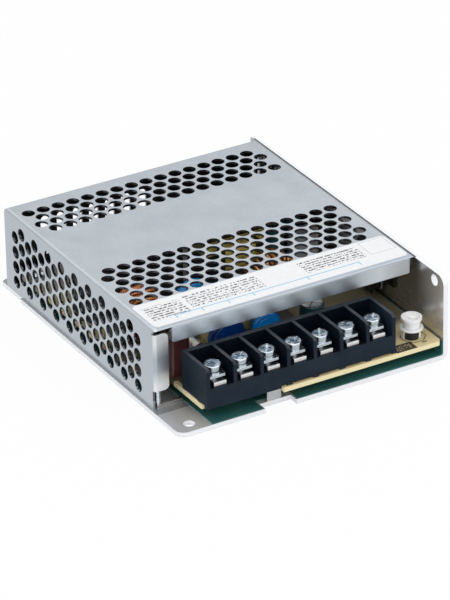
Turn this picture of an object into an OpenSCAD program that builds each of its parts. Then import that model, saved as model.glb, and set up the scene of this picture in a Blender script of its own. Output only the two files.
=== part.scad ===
// Enclosed switching power supply of the 100 W class.
// A folded aluminium chassis carries one circuit board; a folded, perforated steel cover closes it.
// A seven-way barrier terminal block and an output trimmer stand in the open bay at the front.
// Millimetres, +Z up, terminals towards -Y, origin at the middle of the underside.

/* [Chassis] */
// Overall width
case_w = 97.5; // [96:0.5:106]
// Overall length, front edge to rear edge
case_l = 119.6; // [118:0.2:136]
// Overall height, underside to the top of the cover
case_h = 30; // [30:0.5:38]
// Thickness of the aluminium sheet
chassis_t = 1.5; // [1.2:0.1:1.8]
// Inside radius of the bend between floor and wall
chassis_bend = 0.8; // [0.5:0.1:1.5]
// Radius of the sheet's free corners
chassis_corner = 3.2; // [1:0.2:4]
// Radius of the wall's rear top corner
rear_corner = 0.8; // [0.4:0.1:3]
// Length of the relief in the floor's left edge, from the rear edge
relief_l = 14.8; // [8:0.2:20]
// Width of the notch in the floor's front edge
notch_w = 11.3; // [8:0.1:12]
// Left side of the notch, from the case's left edge
notch_from_left = 30.6; // [29:0.2:34]
// Depth of the notch, front edge to the board stop
notch_depth = 3.5; // [3:0.1:4.5]
// Diameter of the mounting holes and width of the mounting slots
mount_d = 3.8; // [3.2:0.1:4.4]
// Floor hole and slot, from the case's left edge
floor_hole_side = 5.9; // [5:0.1:7.4]
// Floor's front mounting hole, from the front edge
hole_from_front = 4.6; // [4:0.1:8]
// Wall's front mounting hole, from the front edge
wall_hole_from_front = 5.3; // [4:0.1:8]
// Wall hole and slot, below the wall's top edge
wall_hole_drop = 3; // [2.8:0.1:6]
// Depth of the open slots in the rear edge
slot_depth = 3.2; // [2.8:0.1:4]
// Wall's top edge below the top of the cover
wall_drop = 1; // [0.6:0.1:1.4]

/* [Cover] */
// Thickness of the steel sheet
cover_t = 0.8; // [0.6:0.1:1]
// Outside radius of the bends
cover_bend = 1.2; // [1.1:0.1:2.2]
// Floor edge standing proud of the cover's left face
floor_proud = 0.7; // [0.2:0.1:1.5]
// Gap between the cover's right edge and the wall
cover_gap = 0.45; // [0.15:0.05:0.6]
// Front bay, chassis front edge to the cover's front lip
front_bay = 16.7; // [16.4:0.1:21]
// Rear mounting strip, cover to the chassis rear edge
rear_strip = 4.4; // [4.2:0.1:8]
// Height of the front lip
lip_h = 6; // [5:0.1:7]
// End of the front lip, from the cover's right face
lip_short = 1.6; // [1:0.1:3]
// Height of the turned-down right edge
edge_h = 5.8; // [5.4:0.1:6.4]
// Start of the turned-down right edge, behind the front lip
edge_start = 5; // [2:0.1:8]
// Width of the left return flange
flange_w = 5.3; // [4.5:0.1:7]
// Height of the return flange's lower end above the floor
flange_lift = 6.6; // [5:0.1:8]
// Slot between the return flange and the top sheet, from the top face
flange_drop = 2.1; // [1.2:0.1:2.5]
// Gap between the return flange and the lip
flange_gap = 1.5; // [1:0.1:3]
// Radius of the flange corners
flange_corner = 1.6; // [0.5:0.1:2]
// Radius of the lip corners
lip_corner = 0.6; // [0.3:0.1:2]
// Cut-off rear right corner of the top
corner_cut = 2.4; // [1.5:0.1:4]

/* [Perforation] */
// Diameter of the holes
vent_d = 4.35; // [3.5:0.05:4.6]
// Distance between neighbouring holes
vent_pitch = 5.45; // [5.2:0.05:5.6]
// Distance between neighbouring rows
vent_row = 4.5; // [4.3:0.05:4.8]
// Holes in each row of the top
vent_across = 16; // [12:1:16]
// Rows in the rear band of the top
rear_rows = 4; // [2:1:5]
// Rows in the front band of the top
front_rows = 6; // [4:1:6]
// First hole of a row, from the cover's left face
vent_side = 4.85; // [4.4:0.05:6]
// First rear row, from the cover's rear face
rear_band = 7.8; // [6:0.1:9]
// Front-most row, from the cover's front face
front_band = 19.4; // [17:0.1:24]
// Columns in the left wall
side_columns = 19; // [15:1:19]
// Holes in each column of the left wall
side_holes = 4; // [3:1:4]
// First column of the left wall, from the cover's rear face
side_start = 7.1; // [5:0.05:8]
// Top hole of an even column, below the cover's top face
side_drop = 7.75; // [6.8:0.05:8]
// Slots in the rear wall
back_columns = 7; // [4:1:10]
// Width of the rear slots
back_slot_w = 3.4; // [2:0.1:4]
// Distance between neighbouring rear slots
back_pitch = 6; // [5:0.1:8]
// First rear slot, from the cover's left face
back_start = 12.7; // [8:0.1:16]
// Upper end of the rear slots, below the cover's top face
back_drop = 6.5; // [4:0.1:8]
// Height of the rear slots
back_slot_h = 14; // [8:0.5:16]

/* [Label] */
// Thickness of the label
label_t = 0.1; // [0.05:0.01:0.2]
// Label edge, from the cover's left fold
label_side = 0.4; // [0.2:0.1:5]
// Radius of the label's corners
label_corner = 1.6; // [0.5:0.1:4]

/* [Insulating film] */
// Thickness of the film
film_t = 0.3; // [0.2:0.05:0.5]
// Film edge, behind the floor's front edge
film_inset = 0.3; // [0.2:0.1:1]
// Front part of the film, from the case's left edge
film_side = 11.6; // [10.6:0.1:13]
// Height of the film's turned-up edge along the wall
film_up = 5; // [4:0.2:7]

/* [Circuit board] */
// Thickness of the board
board_t = 1.6; // [1.2:0.1:2]
// Height of the board's underside above the floor
board_lift = 3.8; // [3.2:0.1:4.4]
// Board edge, behind the floor's front edge
board_inset = 0.1; // [0:0.1:1]
// Gap between the board and the wall's film
board_gap = 0.3; // [0.2:0.1:1.5]
// Front part of the board, from the case's left edge
board_front_side = 10.4; // [10:0.1:12]
// Rear part of the board, from the case's left edge
board_rear_side = 3.4; // [3:0.1:5]
// Start of the wide rear part, behind the cover's front lip
board_widen = 12; // [10:0.5:16]
// Outer diameter of the standoffs
standoff_d = 6; // [5:0.1:7]
// Diameter of the board screws
board_screw_d = 3; // [2.5:0.1:3.2]

/* [Terminal block] */
// Number of ways
ways = 7; // [5:1:7]
// Gap between the block and the trimmer's collar
block_gap = 5.75; // [4:0.05:8]
// Thickness of the barriers
barrier_t = 1.2; // [1:0.1:1.6]
// Depth of the block, front to rear
block_d = 15.6; // [15:0.1:17]
// Block front, behind the floor's front edge
block_inset = 1.2; // [0.8:0.1:2.4]
// Left face of the block, from the case's left edge
block_side = 10.65; // [10.3:0.05:12]
// Height of the ledge above the board
ledge_h = 6.3; // [5:0.1:8]
// Height of the barriers above the board
barrier_h = 13.4; // [12.5:0.1:14.5]
// Thickness of the block's rear wall
block_back = 1.9; // [1.8:0.1:3.5]
// Height of the feet under the block
block_foot = 0.3; // [0.2:0.1:1]
// Depth of the block's front skirt below the board's top
skirt_h = 0.6; // [0.3:0.1:1]
// Terminal screws, behind the block's front
screw_inset = 5.5; // [4.5:0.1:6.5]
// Width of the terminal plates
plate_w = 4.4; // [4:0.1:6]
// Thickness of the terminal plates
plate_t = 1.2; // [0.8:0.1:1.4]
// Terminal plates, behind the block's front
plate_inset = 1.2; // [0.6:0.1:2.4]
// Diameter of the terminal screws
screw_d = 3.5; // [3:0.1:3.6]
// Diameter of the screw heads
head_d = 5.8; // [5.4:0.1:6.6]
// Height of the screw heads
head_h = 2.1; // [1.8:0.1:2.8]
// Side of the square washers
washer_side = 6; // [5.6:0.1:7]
// Gap left for a wire between washer and plate
wire_gap = 0.8; // [0.3:0.1:1.2]

/* [Trimmer] */
// Trimmer axis, from the wall's inner face
trimmer_side = 7.4; // [7:0.05:8]
// Trimmer axis, behind the floor's front edge
trimmer_inset = 7.1; // [6:0.1:10]
// Outer diameter of the rotor cup
rotor_d = 6.8; // [5.8:0.1:7]
// Height of the rotor cup
rotor_h = 3.6; // [3:0.1:5]
// Height of the collar's top above the board
collar_h = 3.8; // [3:0.1:5]
// Diameter of the rotor's spindle
spindle_d = 1.6; // [1.4:0.1:1.8]
// Running clearance of the rotor, on the radius and under the cup
rotor_clear = 0.06; // [0.04:0.01:0.1]

/* [Transformer] */
// Length of the ferrite core
core_l = 22; // [21:0.5:24]
// Room left over the ferrite core, under the cover
core_headroom = 1.1; // [0.8:0.1:4]
// Thickness of the ferrite core
core_t = 12; // [10:0.5:13]
// Thickness of the core's end legs and its top and bottom
core_leg = 4.2; // [3.8:0.1:5]
// Depth of the taped winding
winding_d = 20; // [18:0.5:21]

/* [Capacitors] */
// Gap between the bulk capacitors and the transformer
bulk_gap = 5.75; // [2:0.05:8]
// Gap between the two bulk capacitors
bulk_between = 1.5; // [1:0.1:3]
// Room left over the bulk capacitors, under the cover
bulk_headroom = 2.3; // [1:0.1:6]
// Diameter of the output capacitors
output_d = 10; // [8:0.5:10]
// Room left over the output capacitors, under the cover
output_headroom = 6.7; // [1:0.1:8]
// Diameter of the auxiliary capacitor
aux_d = 8; // [6:0.5:9]
// Height of the auxiliary capacitor
aux_h = 13.3; // [10:0.1:14.5]
// Diameter of the larger blue disc
disc_d = 13.4; // [10:0.1:13.6]
// Diameter of the smaller blue disc
small_disc_d = 10.5; // [8:0.1:11]
// Height of the blue discs' middle above the board
disc_mid = 7.4; // [7.2:0.1:10]
// Thickness of the blue discs
disc_t = 4.4; // [3:0.1:5]
// Diameter of the varistor
varistor_d = 13; // [10:0.5:14]

/* [Chokes] */
// Outer diameter of the filter choke's core
filter_d = 16; // [14:0.5:16.5]
// Width of the filter choke's core
filter_w = 7; // [5:0.5:8]
// Outer diameter of the output choke's core
output_ring_d = 15; // [13:0.5:15.5]
// Width of the output choke's core
output_ring_w = 6.5; // [5:0.5:7]
// Thickness of the windings on both chokes
wire_layer = 1.2; // [0.8:0.1:1.4]

/* [Hidden] */
$fn = 48;
cut = 1;          // how far a cutting shape runs past the face it cuts
touch = 0.01;     // overlap between shapes that join into one solid
slip = 0.1;       // clearance of a pin or leg in its slot

// Case planes
x_left = -case_w / 2;
x_right = case_w / 2;
y_front = -case_l / 2;
y_rear = case_l / 2;
wall_in = x_right - chassis_t;
fold_out = chassis_t + chassis_bend;
floor_hole_x = x_left + floor_hole_side;
hole_y = y_front + hole_from_front;
wall_hole_y = y_front + wall_hole_from_front;
wall_z = case_h - wall_drop;
wall_hole_z = wall_z - wall_hole_drop;
notch_x0 = x_left + notch_from_left;
notch_x1 = notch_x0 + notch_w;
notch_y = y_front + notch_depth;

// Cover planes
cover_x0 = x_left + floor_proud;
cover_x1 = wall_in - cover_gap;
cover_y0 = y_front + front_bay;
cover_y1 = y_rear - rear_strip;
flange_x1 = cover_x0 + flange_w;
lip_x0 = flange_x1 + flange_gap;
lip_x1 = cover_x1 - lip_short;
lip_z = case_h - lip_h;
seam = 0.4;
vent_x = cover_x0 + vent_side;
rear_band_y = cover_y1 - rear_band;
last_row_y = cover_y0 + front_band;
front_band_y = last_row_y + (front_rows - 1) * vent_row;
side_y = cover_y1 - side_start;
side_z = case_h - side_drop;
back_x = cover_x0 + back_start;
back_z = case_h - back_drop;

// Lug and stud on the floor behind the return flange
lug_w = 9.2;
lug_h = 1.3;
lug_t = 1.2;
lug_side = 1.4;
lug_gap = 0.2;
lug_x = cover_x0 + lug_side;
lug_y = cover_y0 + cover_t + lug_gap;
stud_d = 2;
stud_h = 9;
stud_x = cover_x0 + 2.25;
stud_y = lug_y + stud_d / 2 + lug_gap;

// Cover screws, countersunk in the wall and threaded in the cover's right edge
cover_screw_d = 2.5;
cover_screw_head = 4.6;
cover_screw_drop = 0.5;
cover_screw_in = 14;
cover_screw_z = wall_z - cover_screw_head / 2 - cover_screw_drop;
cover_screw_ys = [cover_y0 + cover_screw_in, cover_y1 - cover_screw_in];

// Board planes
board_z = chassis_t + board_lift;
board_top = board_z + board_t;
board_x1 = wall_in - film_t - board_gap;
board_front_x = x_left + board_front_side;
board_rear_x = x_left + board_rear_side;
board_y0 = y_front + board_inset;
board_rest = 0.9;
board_step_y = notch_y + board_rest;
board_step_x = notch_x0 + notch_w * 0.6;
board_widen_y = cover_y0 + board_widen;
board_rear_gap = 2;
board_y1 = cover_y1 - cover_t - board_rear_gap;
board_corner = 1.4;
film_x0 = x_left + film_side;
film_y1 = board_y1;
spot_in = 5;
spot_right = 6.6;
spot_front = 7.6;
spot_back = 4;
screw_spots = [
    [board_rear_x + spot_in, board_y1 - spot_in],
    [board_x1 - spot_right, board_y1 - spot_in],
    [board_rear_x + spot_in, board_widen_y + spot_in],
    [board_x1 - spot_front, cover_y0 + spot_back]
];
room_h = case_h - cover_t - board_top;

// Trimmer
trimmer_x = wall_in - trimmer_side;
trimmer_y = y_front + trimmer_inset;
collar_z = board_top + collar_h;
collar_t = 0.5;
collar_rim = 0.4;
collar_d = rotor_d + 2 * collar_rim;
trimmer_leg = 1.25;
trimmer_feet = [[-2.3, 0.8], [1.8, -1.1], [0.7, 2.3]];
element_d = 4.9;

// Terminal block
block_x0 = x_left + block_side;
block_w = trimmer_x - collar_d / 2 - block_gap - block_x0;
way_pitch = (block_w - barrier_t) / ways;
block_y0 = y_front + block_inset;
block_y1 = block_y0 + block_d;
ledge_z = board_top + ledge_h;
barrier_z = board_top + barrier_h;
chamfer_y = 1.1;
chamfer_z = 0.8;
skirt_t = 2;
screw_y = block_y0 + screw_inset;
plate_behind = 4.2;
plate_y0 = block_y0 + plate_inset;
plate_y1 = screw_y + plate_behind;
leg_w = 2.4;
leg_below = 1.8;
plate_z = ledge_z + plate_t;
square_t = 0.9;
spring_t = 0.6;
spring_d = 5.5;
washer_z = plate_z + wire_gap;
spring_z = washer_z + square_t;
head_z = spring_z + spring_t;
shank_in = 3;
shank_end = ledge_z - shank_in;

// Places of the board's parts
fuse_side = 20.45;
fuse_back = 22.1;
fuse_x = board_rear_x + fuse_side;
fuse_y = cover_y0 + fuse_back;
filter_side = 12;
filter_back = 34.4;
filter_x = board_rear_x + filter_side;
filter_y = cover_y0 + filter_back;
filter_bore = 8;
varistor_side = 30;
varistor_back = 32.6;
varistor_t = 4;
varistor_x = board_rear_x + varistor_side;
varistor_y = cover_y0 + varistor_back;
line_w = 25;
line_t = 8;
line_h = 13;
line_side = 36.55;
line_back = 16.1;
line_x = board_rear_x + line_side;
line_y = cover_y0 + line_back;
core_right = 36.15;
core_back = 56.5;
core_foot = 1.6;
core_x = board_x1 - core_right;
core_y = cover_y0 + core_back;
core_z = board_top + core_foot;
core_h = room_h - core_foot - core_headroom;
core_gap = 0.2;
post_d = 6;
window_l = core_l - 2 * core_leg;
window_h = core_h - 2 * core_leg;
bulk_side = 1.6;
bulk_back = 57.5;
bulk_d = (core_x - core_l / 2 - bulk_gap - board_rear_x - bulk_side - bulk_between) / 2;
bulk_h = room_h - bulk_headroom;
bulk_x = board_rear_x + bulk_side + bulk_d / 2;
bulk_step = bulk_d + bulk_between;
bulk_y = cover_y0 + bulk_back;
bridge_w = 15;
bridge_t = 3.8;
bridge_h = 11;
bridge_lead = 2;
bridge_corner = 2.5;
bridge_side = 16;
bridge_back = 17;
bridge_x = board_rear_x + bridge_side;
bridge_y = bulk_y + bridge_back;
disc_sides = [21.4, 35.7];
disc_back = 9.2;
disc_ds = [disc_d, small_disc_d];
disc_xs = [for (side = disc_sides) block_x0 + side];
disc_y = block_y1 + disc_back;
disc_lead = 1.2;
lead_d = 0.8;
film_cap_w = 7.5;
film_cap_t = 5;
film_cap_h = 13.5;
film_cap_side = 3.9;
film_cap_back = 9.5;
film_cap_x = board_front_x + film_cap_side;
film_cap_y = block_y1 + film_cap_back;
thermistor_d = 10;
thermistor_t = 3.8;
thermistor_side = 3.6;
thermistor_back = 34.4;
thermistor_x = board_rear_x + thermistor_side;
thermistor_y = cover_y0 + thermistor_back;
ring_right = 31.65;
ring_back = 35.2;
ring_x = board_x1 - ring_right;
ring_y = cover_y0 + ring_back;
ring_bore = 7.5;
output_h = room_h - output_headroom;
output_rights = [19.45, 9.65, 19.15];
output_backs = [57.6, 62.7, 70.1];
output_spots = [for (i = [0 : 2]) [board_x1 - output_rights[i], cover_y0 + output_backs[i]]];
aux_side = 50.5;
aux_back = 5.6;
aux_x = block_x0 + aux_side;
aux_y = block_y1 + aux_back;
snubber_w = 10;
snubber_t = 6;
snubber_h = 11.6;
snubber_right = 9.25;
snubber_back = 52.9;
snubber_x = board_x1 - snubber_right;
snubber_y = cover_y0 + snubber_back;
pin_step = 2.54;
package_lift = 0.6;
package_h = 3.2;
chip_w = 6.4;
chip_l = 10;
chip_side = 54.4;
chip_back = 16;
chip_x = board_rear_x + chip_side;
chip_y = cover_y0 + chip_back;
opto_w = 6;
opto_l = 4.6;
opto_sides = [36.4, 43.4];
opto_back = 25;
opto_xs = [for (side = opto_sides) board_rear_x + side];
opto_y = cover_y0 + opto_back;

// Cooled devices on the wall
device_w = 10;
device_t = 4.4;
device_lead = 2.4;
device_gap = 0.1;
device_z = board_top + device_lead;
device_h = case_h - edge_h - device_gap - device_z;
pad_t = 0.3;
device_x = wall_in - pad_t - device_t;
rectifier_back = 25.1;
transistor_back = 72;
rectifier_y = cover_y0 + rectifier_back;
transistor_y = cover_y0 + transistor_back;
clip_t = 0.8;
clip_h = 6;
clip_up = 3.7;
clip_z = device_z + clip_up;
clip_arm = 6.4;
clip_foot = 7;
clip_screw_d = 3;
clip_screw_z = clip_z + clip_h / 2;

// Rectangle from the origin with its lower right corner rounded
module fold_2d(w, h, r) {
    square([w - r, h]);
    translate([0, r]) square([w, h - r]);
    translate([w - r, r]) circle(r);
}

// Rectangle between two corners with all four corners rounded
module rounded_2d(x0, y0, x1, y1, r) {
    translate([x0 + r, y0]) square([x1 - x0 - 2 * r, y1 - y0]);
    translate([x0, y0 + r]) square([x1 - x0, y1 - y0 - 2 * r]);
    for (x = [x0 + r, x1 - r], y = [y0 + r, y1 - r]) translate([x, y]) circle(r);
}

// Outline drawn as seen from the front, X across and Z up, swept from y0 to y1
module along_y(y0, y1) {
    translate([0, y1, 0]) rotate([90, 0, 0]) linear_extrude(y1 - y0) children();
}

// Outline drawn as seen from the right, Y across and Z up, swept from x0 to x1
module along_x(x0, x1) {
    translate([x0, 0, 0]) rotate([90, 0, 90]) linear_extrude(x1 - x0) children();
}

// Outline drawn in plan, swept from z0 to z1
module along_z(z0, z1) {
    translate([0, 0, z0]) linear_extrude(z1 - z0) children();
}

// Box between two corners
module box(a, b) {
    translate(a) cube(b - a);
}

// Folded aluminium sheet: floor and right wall
module chassis() {
    color("gainsboro") difference() {
        union() {
            intersection() {
                along_y(y_front, y_rear) translate([x_left, 0]) difference() {
                    fold_2d(case_w, case_h, fold_out);
                    translate([-cut, chassis_t])
                        fold_2d(case_w - chassis_t + cut, case_h, chassis_bend);
                }
                along_x(x_left - cut, x_right + cut) {
                    rounded_2d(y_front, -2 * case_h, y_rear, wall_z, chassis_corner);
                    rounded_2d(y_rear - 2 * chassis_corner, wall_z - 2 * chassis_corner, y_rear, wall_z,
                        rear_corner);
                }
                along_z(-cut, case_h + cut)
                    rounded_2d(x_left, y_front, x_right + case_w, y_rear, chassis_corner);
            }
            board_stop();
            cover_lug();
        }
        box([notch_x0, y_front - cut, -cut], [notch_x1, notch_y, chassis_t + cut]);
        box([x_left - cut, y_rear - relief_l, -cut], [cover_x0, y_rear + cut, chassis_t + cut]);
        mounting_holes();
        for (y = cover_screw_ys) translate([x_right, y, cover_screw_z]) rotate([0, -90, 0])
            countersunk(cover_screw_d + 0.3, cover_screw_head + 0.1, chassis_t + cut);
        for (y = clip_screw_ys()) translate([wall_in - cut, y, clip_screw_z]) rotate([0, 90, 0])
            cylinder(d = clip_screw_d, h = chassis_t + 2 * cut);
    }
}

// Tab bent up at the back of the notch, which the board rests on
module board_stop() {
    stop_x0 = notch_x0 + notch_w * 0.24;
    stop_x1 = notch_x0 + notch_w * 0.69;
    box([stop_x0, notch_y, 0], [stop_x1, notch_y + chassis_t, board_z]);
}

// Low lug and pressed-in stud that locate the cover's return flange
module cover_lug() {
    box([lug_x, lug_y, chassis_t - touch], [lug_x + lug_w, lug_y + lug_t, chassis_t + lug_h]);
    translate([stud_x, stud_y, chassis_t - touch]) cylinder(d = stud_d, h = stud_h + touch);
}

// Front holes and rear open slots, in the floor and in the wall
module mounting_holes() {
    translate([floor_hole_x, hole_y, -cut]) cylinder(d = mount_d, h = chassis_t + 2 * cut);
    translate([wall_in - cut, wall_hole_y, wall_hole_z]) rotate([0, 90, 0])
        cylinder(d = mount_d, h = chassis_t + 2 * cut);
    slot_y = y_rear - slot_depth + mount_d / 2;
    along_z(-cut, chassis_t + cut) translate([floor_hole_x, slot_y]) open_slot_2d();
    along_z(-cut, chassis_t + cut) translate([floor_hole_x + case_w / 2, slot_y]) open_slot_2d();
}

// Slot with a round end, open towards +Y
module open_slot_2d() {
    circle(d = mount_d);
    translate([-mount_d / 2, 0]) square([mount_d, slot_depth + cut]);
}

// Countersunk hole or screw along +Z, its head's face at the origin
module countersunk(d, head, length) {
    cylinder(d1 = head, d2 = d, h = (head - d) / 2);
    translate([0, 0, -touch]) cylinder(d = d, h = length + touch);
}

// Folded steel sheet: top, left and rear walls, front lip, return flange and turned-down right edge
module cover() {
    color("lightsteelblue") difference() {
        cover_block(0);
        cover_block(cover_t);
        front_opening();
        box([cover_x1 - cover_t - touch, cover_y0 - cut, -cut],
            [cover_x1 + cut, cover_y1 - cover_bend, case_h - edge_h]);
        corner_seams();
        top_vents();
        side_vents();
        back_vents();
        for (y = cover_screw_ys) translate([cover_x1 + cut, y, cover_screw_z]) rotate([0, -90, 0])
            cylinder(d = cover_screw_d, h = cover_t + 2 * cut);
    }
}

// Outer form of the cover, drawn in by an inset on every sheet face
module cover_block(inset) {
    x0 = cover_x0 + inset;
    x1 = cover_x1 - inset;
    y0 = cover_y0 + inset;
    y1 = cover_y1 - inset;
    z0 = chassis_t - 2 * inset;
    z1 = case_h - inset;
    r = cover_bend - inset;
    intersection() {
        along_y(y0, y1) top_rounded_2d(x0, x1, z0, z1, r);
        along_x(x0, x1) top_rounded_2d(y0, y1, z0, z1, r);
        along_z(z0, z1) union() {
            translate([x0 + r, y0]) square([x1 - x0 - r, y1 - y0]);
            translate([x0, y0 + r]) square([x1 - x0, y1 - y0 - r]);
            translate([x0 + r, y0 + r]) circle(r);
        }
    }
}

// Rectangle with its two upper corners rounded
module top_rounded_2d(a0, a1, z0, z1, r) {
    translate([a0, z0]) square([a1 - a0, z1 - r - z0]);
    translate([a0 + r, z0]) square([a1 - a0 - 2 * r, z1 - z0]);
    for (a = [a0 + r, a1 - r]) translate([a, z1 - r]) circle(r);
}

// What is cut from the cover's front, leaving the lip and the return flange
module front_opening() {
    along_y(cover_y0 - cut, cover_y0 + cover_bend) difference() {
        translate([cover_x0 - cut, -cut])
            square([cover_x1 - cover_x0 + 2 * cut, case_h - cover_t + cut]);
        rounded_2d(lip_x0, lip_z, lip_x1, case_h + lip_h, lip_corner);
        rounded_2d(cover_x0 - 2 * flange_w, chassis_t + flange_lift, flange_x1, case_h - flange_drop,
            flange_corner);
    }
}

// Narrow seams where two folded walls meet, and the cut-off corner of the top
module corner_seams() {
    box([cover_x0 + cover_t, cover_y1 - cover_t - touch, -cut],
        [cover_x0 + cover_t + seam, cover_y1 + cut, case_h - cover_bend]);
    box([cover_x1 - cover_t - touch, cover_y0 + cover_t, -cut],
        [cover_x1 + cut, cover_y0 + edge_start, case_h - cover_bend]);
    box([cover_x1 - cover_t - touch, cover_y1 - cover_t - seam, -cut],
        [cover_x1 + cut, cover_y1 - cover_t, case_h - cover_bend]);
    box([cover_x1 - chassis_bend, cover_y1 - cover_t - seam, -cut],
        [cover_x1 + cut, cover_y1 + cut, chassis_t + chassis_bend]);
    along_z(case_h - edge_h, case_h + cut) polygon([
        [cover_x1 - corner_cut - cut, cover_y1 + cut],
        [cover_x1 + cut, cover_y1 - corner_cut - cut],
        [cover_x1 + cut, cover_y1 + cut]
    ]);
}

// Two staggered bands of holes in the top
module top_vents() {
    along_z(case_h - cover_t - cut, case_h + cut) {
        for (row = [0 : rear_rows - 1], i = [0 : vent_across - 1])
            translate([vent_x + (i + (row % 2) / 2) * vent_pitch, rear_band_y - row * vent_row])
                circle(d = vent_d);
        for (row = [0 : front_rows - 1], i = [0 : vent_across - 1])
            translate([vent_x + (i + (1 - row % 2) / 2) * vent_pitch, front_band_y - row * vent_row])
                circle(d = vent_d);
    }
}

// Staggered columns of holes in the left wall
module side_vents() {
    along_x(cover_x0 - cut, cover_x0 + cover_t + cut)
        for (column = [0 : side_columns - 1], i = [0 : side_holes - 1])
            translate([side_y - column * vent_row, side_z - (i - (column % 2) / 2) * vent_pitch])
                circle(d = vent_d);
}

// Upright slots in the left half of the rear wall
module back_vents() {
    along_y(cover_y1 - cover_t - cut, cover_y1 + cut)
        for (i = [0 : back_columns - 1])
            translate([back_x + i * back_pitch, 0])
                rounded_2d(0, back_z - back_slot_h, back_slot_w, back_z, back_slot_w * 0.45);
}

// Countersunk screws from outside the wall into the cover's right edge
module cover_screws() {
    color("silver") for (y = cover_screw_ys) translate([x_right, y, cover_screw_z]) rotate([0, -90, 0])
        difference() {
            countersunk(cover_screw_d - 0.05, cover_screw_head, chassis_t + cover_gap + cover_t + 1);
            cross_recess(0.9, cover_screw_head * 0.62, 0.7);
        }
}

// Cross recess cut into a face at the origin, towards +Z
module cross_recess(depth, span, width) {
    for (turn = [0, 90]) rotate([0, 0, turn])
        translate([-span / 2, -width / 2, -cut]) cube([span, width, depth + cut]);
}

// Printed sheet stuck on the cover's front strip
module rating_label() {
    color("white") along_z(case_h, case_h + label_t)
        rounded_2d(cover_x0 + cover_bend + label_side, cover_y0 + cover_bend, cover_x1 - cover_bend,
            last_row_y - vent_d / 2 - 0.4, label_corner);
}

// Insulating film on the floor, turned up along the wall
module insulation_film() {
    film_w = wall_in - film_x0;
    film_r = chassis_bend + 0.2;
    color("darkgreen") difference() {
        union() {
            along_y(y_front + film_inset, film_y1) translate([film_x0, chassis_t]) difference() {
                fold_2d(film_w, film_up, film_r);
                translate([-cut, film_t]) fold_2d(film_w - film_t + cut, film_up, film_r - film_t);
            }
            box([board_rear_x, board_widen_y, chassis_t], [film_x0 + 1, film_y1, chassis_t + film_t]);
        }
        box([notch_x0 - 0.6, y_front, 0], [notch_x1 + 0.6, notch_y + chassis_t + 0.6, board_z]);
        for (spot = screw_spots) translate([spot.x, spot.y, 0]) cylinder(d = standoff_d + 0.6, h = board_z);
    }
}

// Round threaded standoffs swaged into the floor
module board_standoffs() {
    color("silver") for (spot = screw_spots) translate([spot.x, spot.y, chassis_t]) difference() {
        cylinder(d = standoff_d, h = board_lift);
        translate([0, 0, 0.6]) cylinder(d = board_screw_d, h = board_lift);
    }
}

// Pan-head screws that fasten the board
module board_screws() {
    color("silver") for (spot = screw_spots) translate([spot.x, spot.y, board_top]) difference() {
        union() {
            pan_head(board_screw_d * 1.9, board_screw_d * 0.7);
            translate([0, 0, 0.8 - board_lift - board_t])
                cylinder(d = board_screw_d - 0.1, h = board_lift + board_t - 0.8 + touch);
        }
        translate([0, 0, board_screw_d * 0.7]) mirror([0, 0, 1])
            cross_recess(1, board_screw_d, 0.7);
    }
}

// Domed screw head standing on the origin
module pan_head(d, h) {
    dome = d * 0.62;
    rotate_extrude() intersection() {
        square([d / 2, h]);
        translate([0, h - dome]) circle(dome);
    }
}

// Stepped board with its screw holes and the slots for the terminal legs
module circuit_board() {
    color("khaki") difference() {
        along_z(board_z, board_top) {
            translate([board_step_x, board_y0])
                fold_2d(board_x1 - board_step_x, cover_y0 - board_y0, board_corner);
            translate([board_front_x, board_step_y])
                square([board_x1 - board_front_x, board_widen_y - board_step_y]);
            translate([board_rear_x, board_widen_y])
                square([board_x1 - board_rear_x, board_y1 - board_widen_y]);
        }
        for (spot = screw_spots) translate([spot.x, spot.y, 0])
            cylinder(d = board_screw_d + 0.4, h = board_top + cut);
        for (i = [0 : ways - 1]) leg_slot(i, board_z - cut, board_top + cut);
    }
}

// Middle of one way of the terminal block
function way_x(i) = block_x0 + barrier_t / 2 + (i + 0.5) * way_pitch;

// Slot that one terminal leg passes through
module leg_slot(i, z0, z1) {
    box([way_x(i) - leg_w / 2 - slip, plate_y1 - plate_t - slip, z0],
        [way_x(i) + leg_w / 2 + slip, plate_y1 + slip, z1]);
}

// Moulded barrier block with feet, front skirt, ledge, rear wall and chamfered barriers
module terminal_block() {
    color([0.11, 0.12, 0.15]) difference() {
        union() {
            box([block_x0, block_y0, board_top + block_foot], [block_x0 + block_w, block_y1, ledge_z]);
            box([block_x0, block_y1 - block_back, ledge_z - touch],
                [block_x0 + block_w, block_y1, barrier_z]);
            box([block_x0, block_y0, board_top - skirt_h],
                [board_step_x - 2 * slip, block_y0 + skirt_t, board_top + block_foot + touch]);
            for (i = [0 : ways]) barrier(block_x0 + i * way_pitch);
            for (i = [0 : ways]) block_feet(block_x0 + i * way_pitch);
        }
        for (i = [0 : ways - 1]) {
            translate([way_x(i), screw_y, shank_end - 0.5])
                cylinder(d = screw_d + 0.6, h = barrier_h);
            leg_slot(i, 0, ledge_z + cut);
        }
    }
}

// One barrier wall, its front top corner chamfered
module barrier(x) {
    along_x(x, x + barrier_t) polygon([
        [block_y0, ledge_z - touch],
        [block_y0, barrier_z - chamfer_z],
        [block_y0 + chamfer_y, barrier_z],
        [block_y1, barrier_z],
        [block_y1, ledge_z - touch]
    ]);
}

// Small feet under one barrier, on the board
module block_feet(x) {
    foot_d = 2.2;
    foot_y = x > board_step_x ? block_y0 : board_step_y + foot_d / 2;
    for (y = [foot_y, block_y1 - foot_d])
        box([x, y, board_top], [x + barrier_t, y + foot_d, board_top + block_foot + touch]);
}

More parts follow.
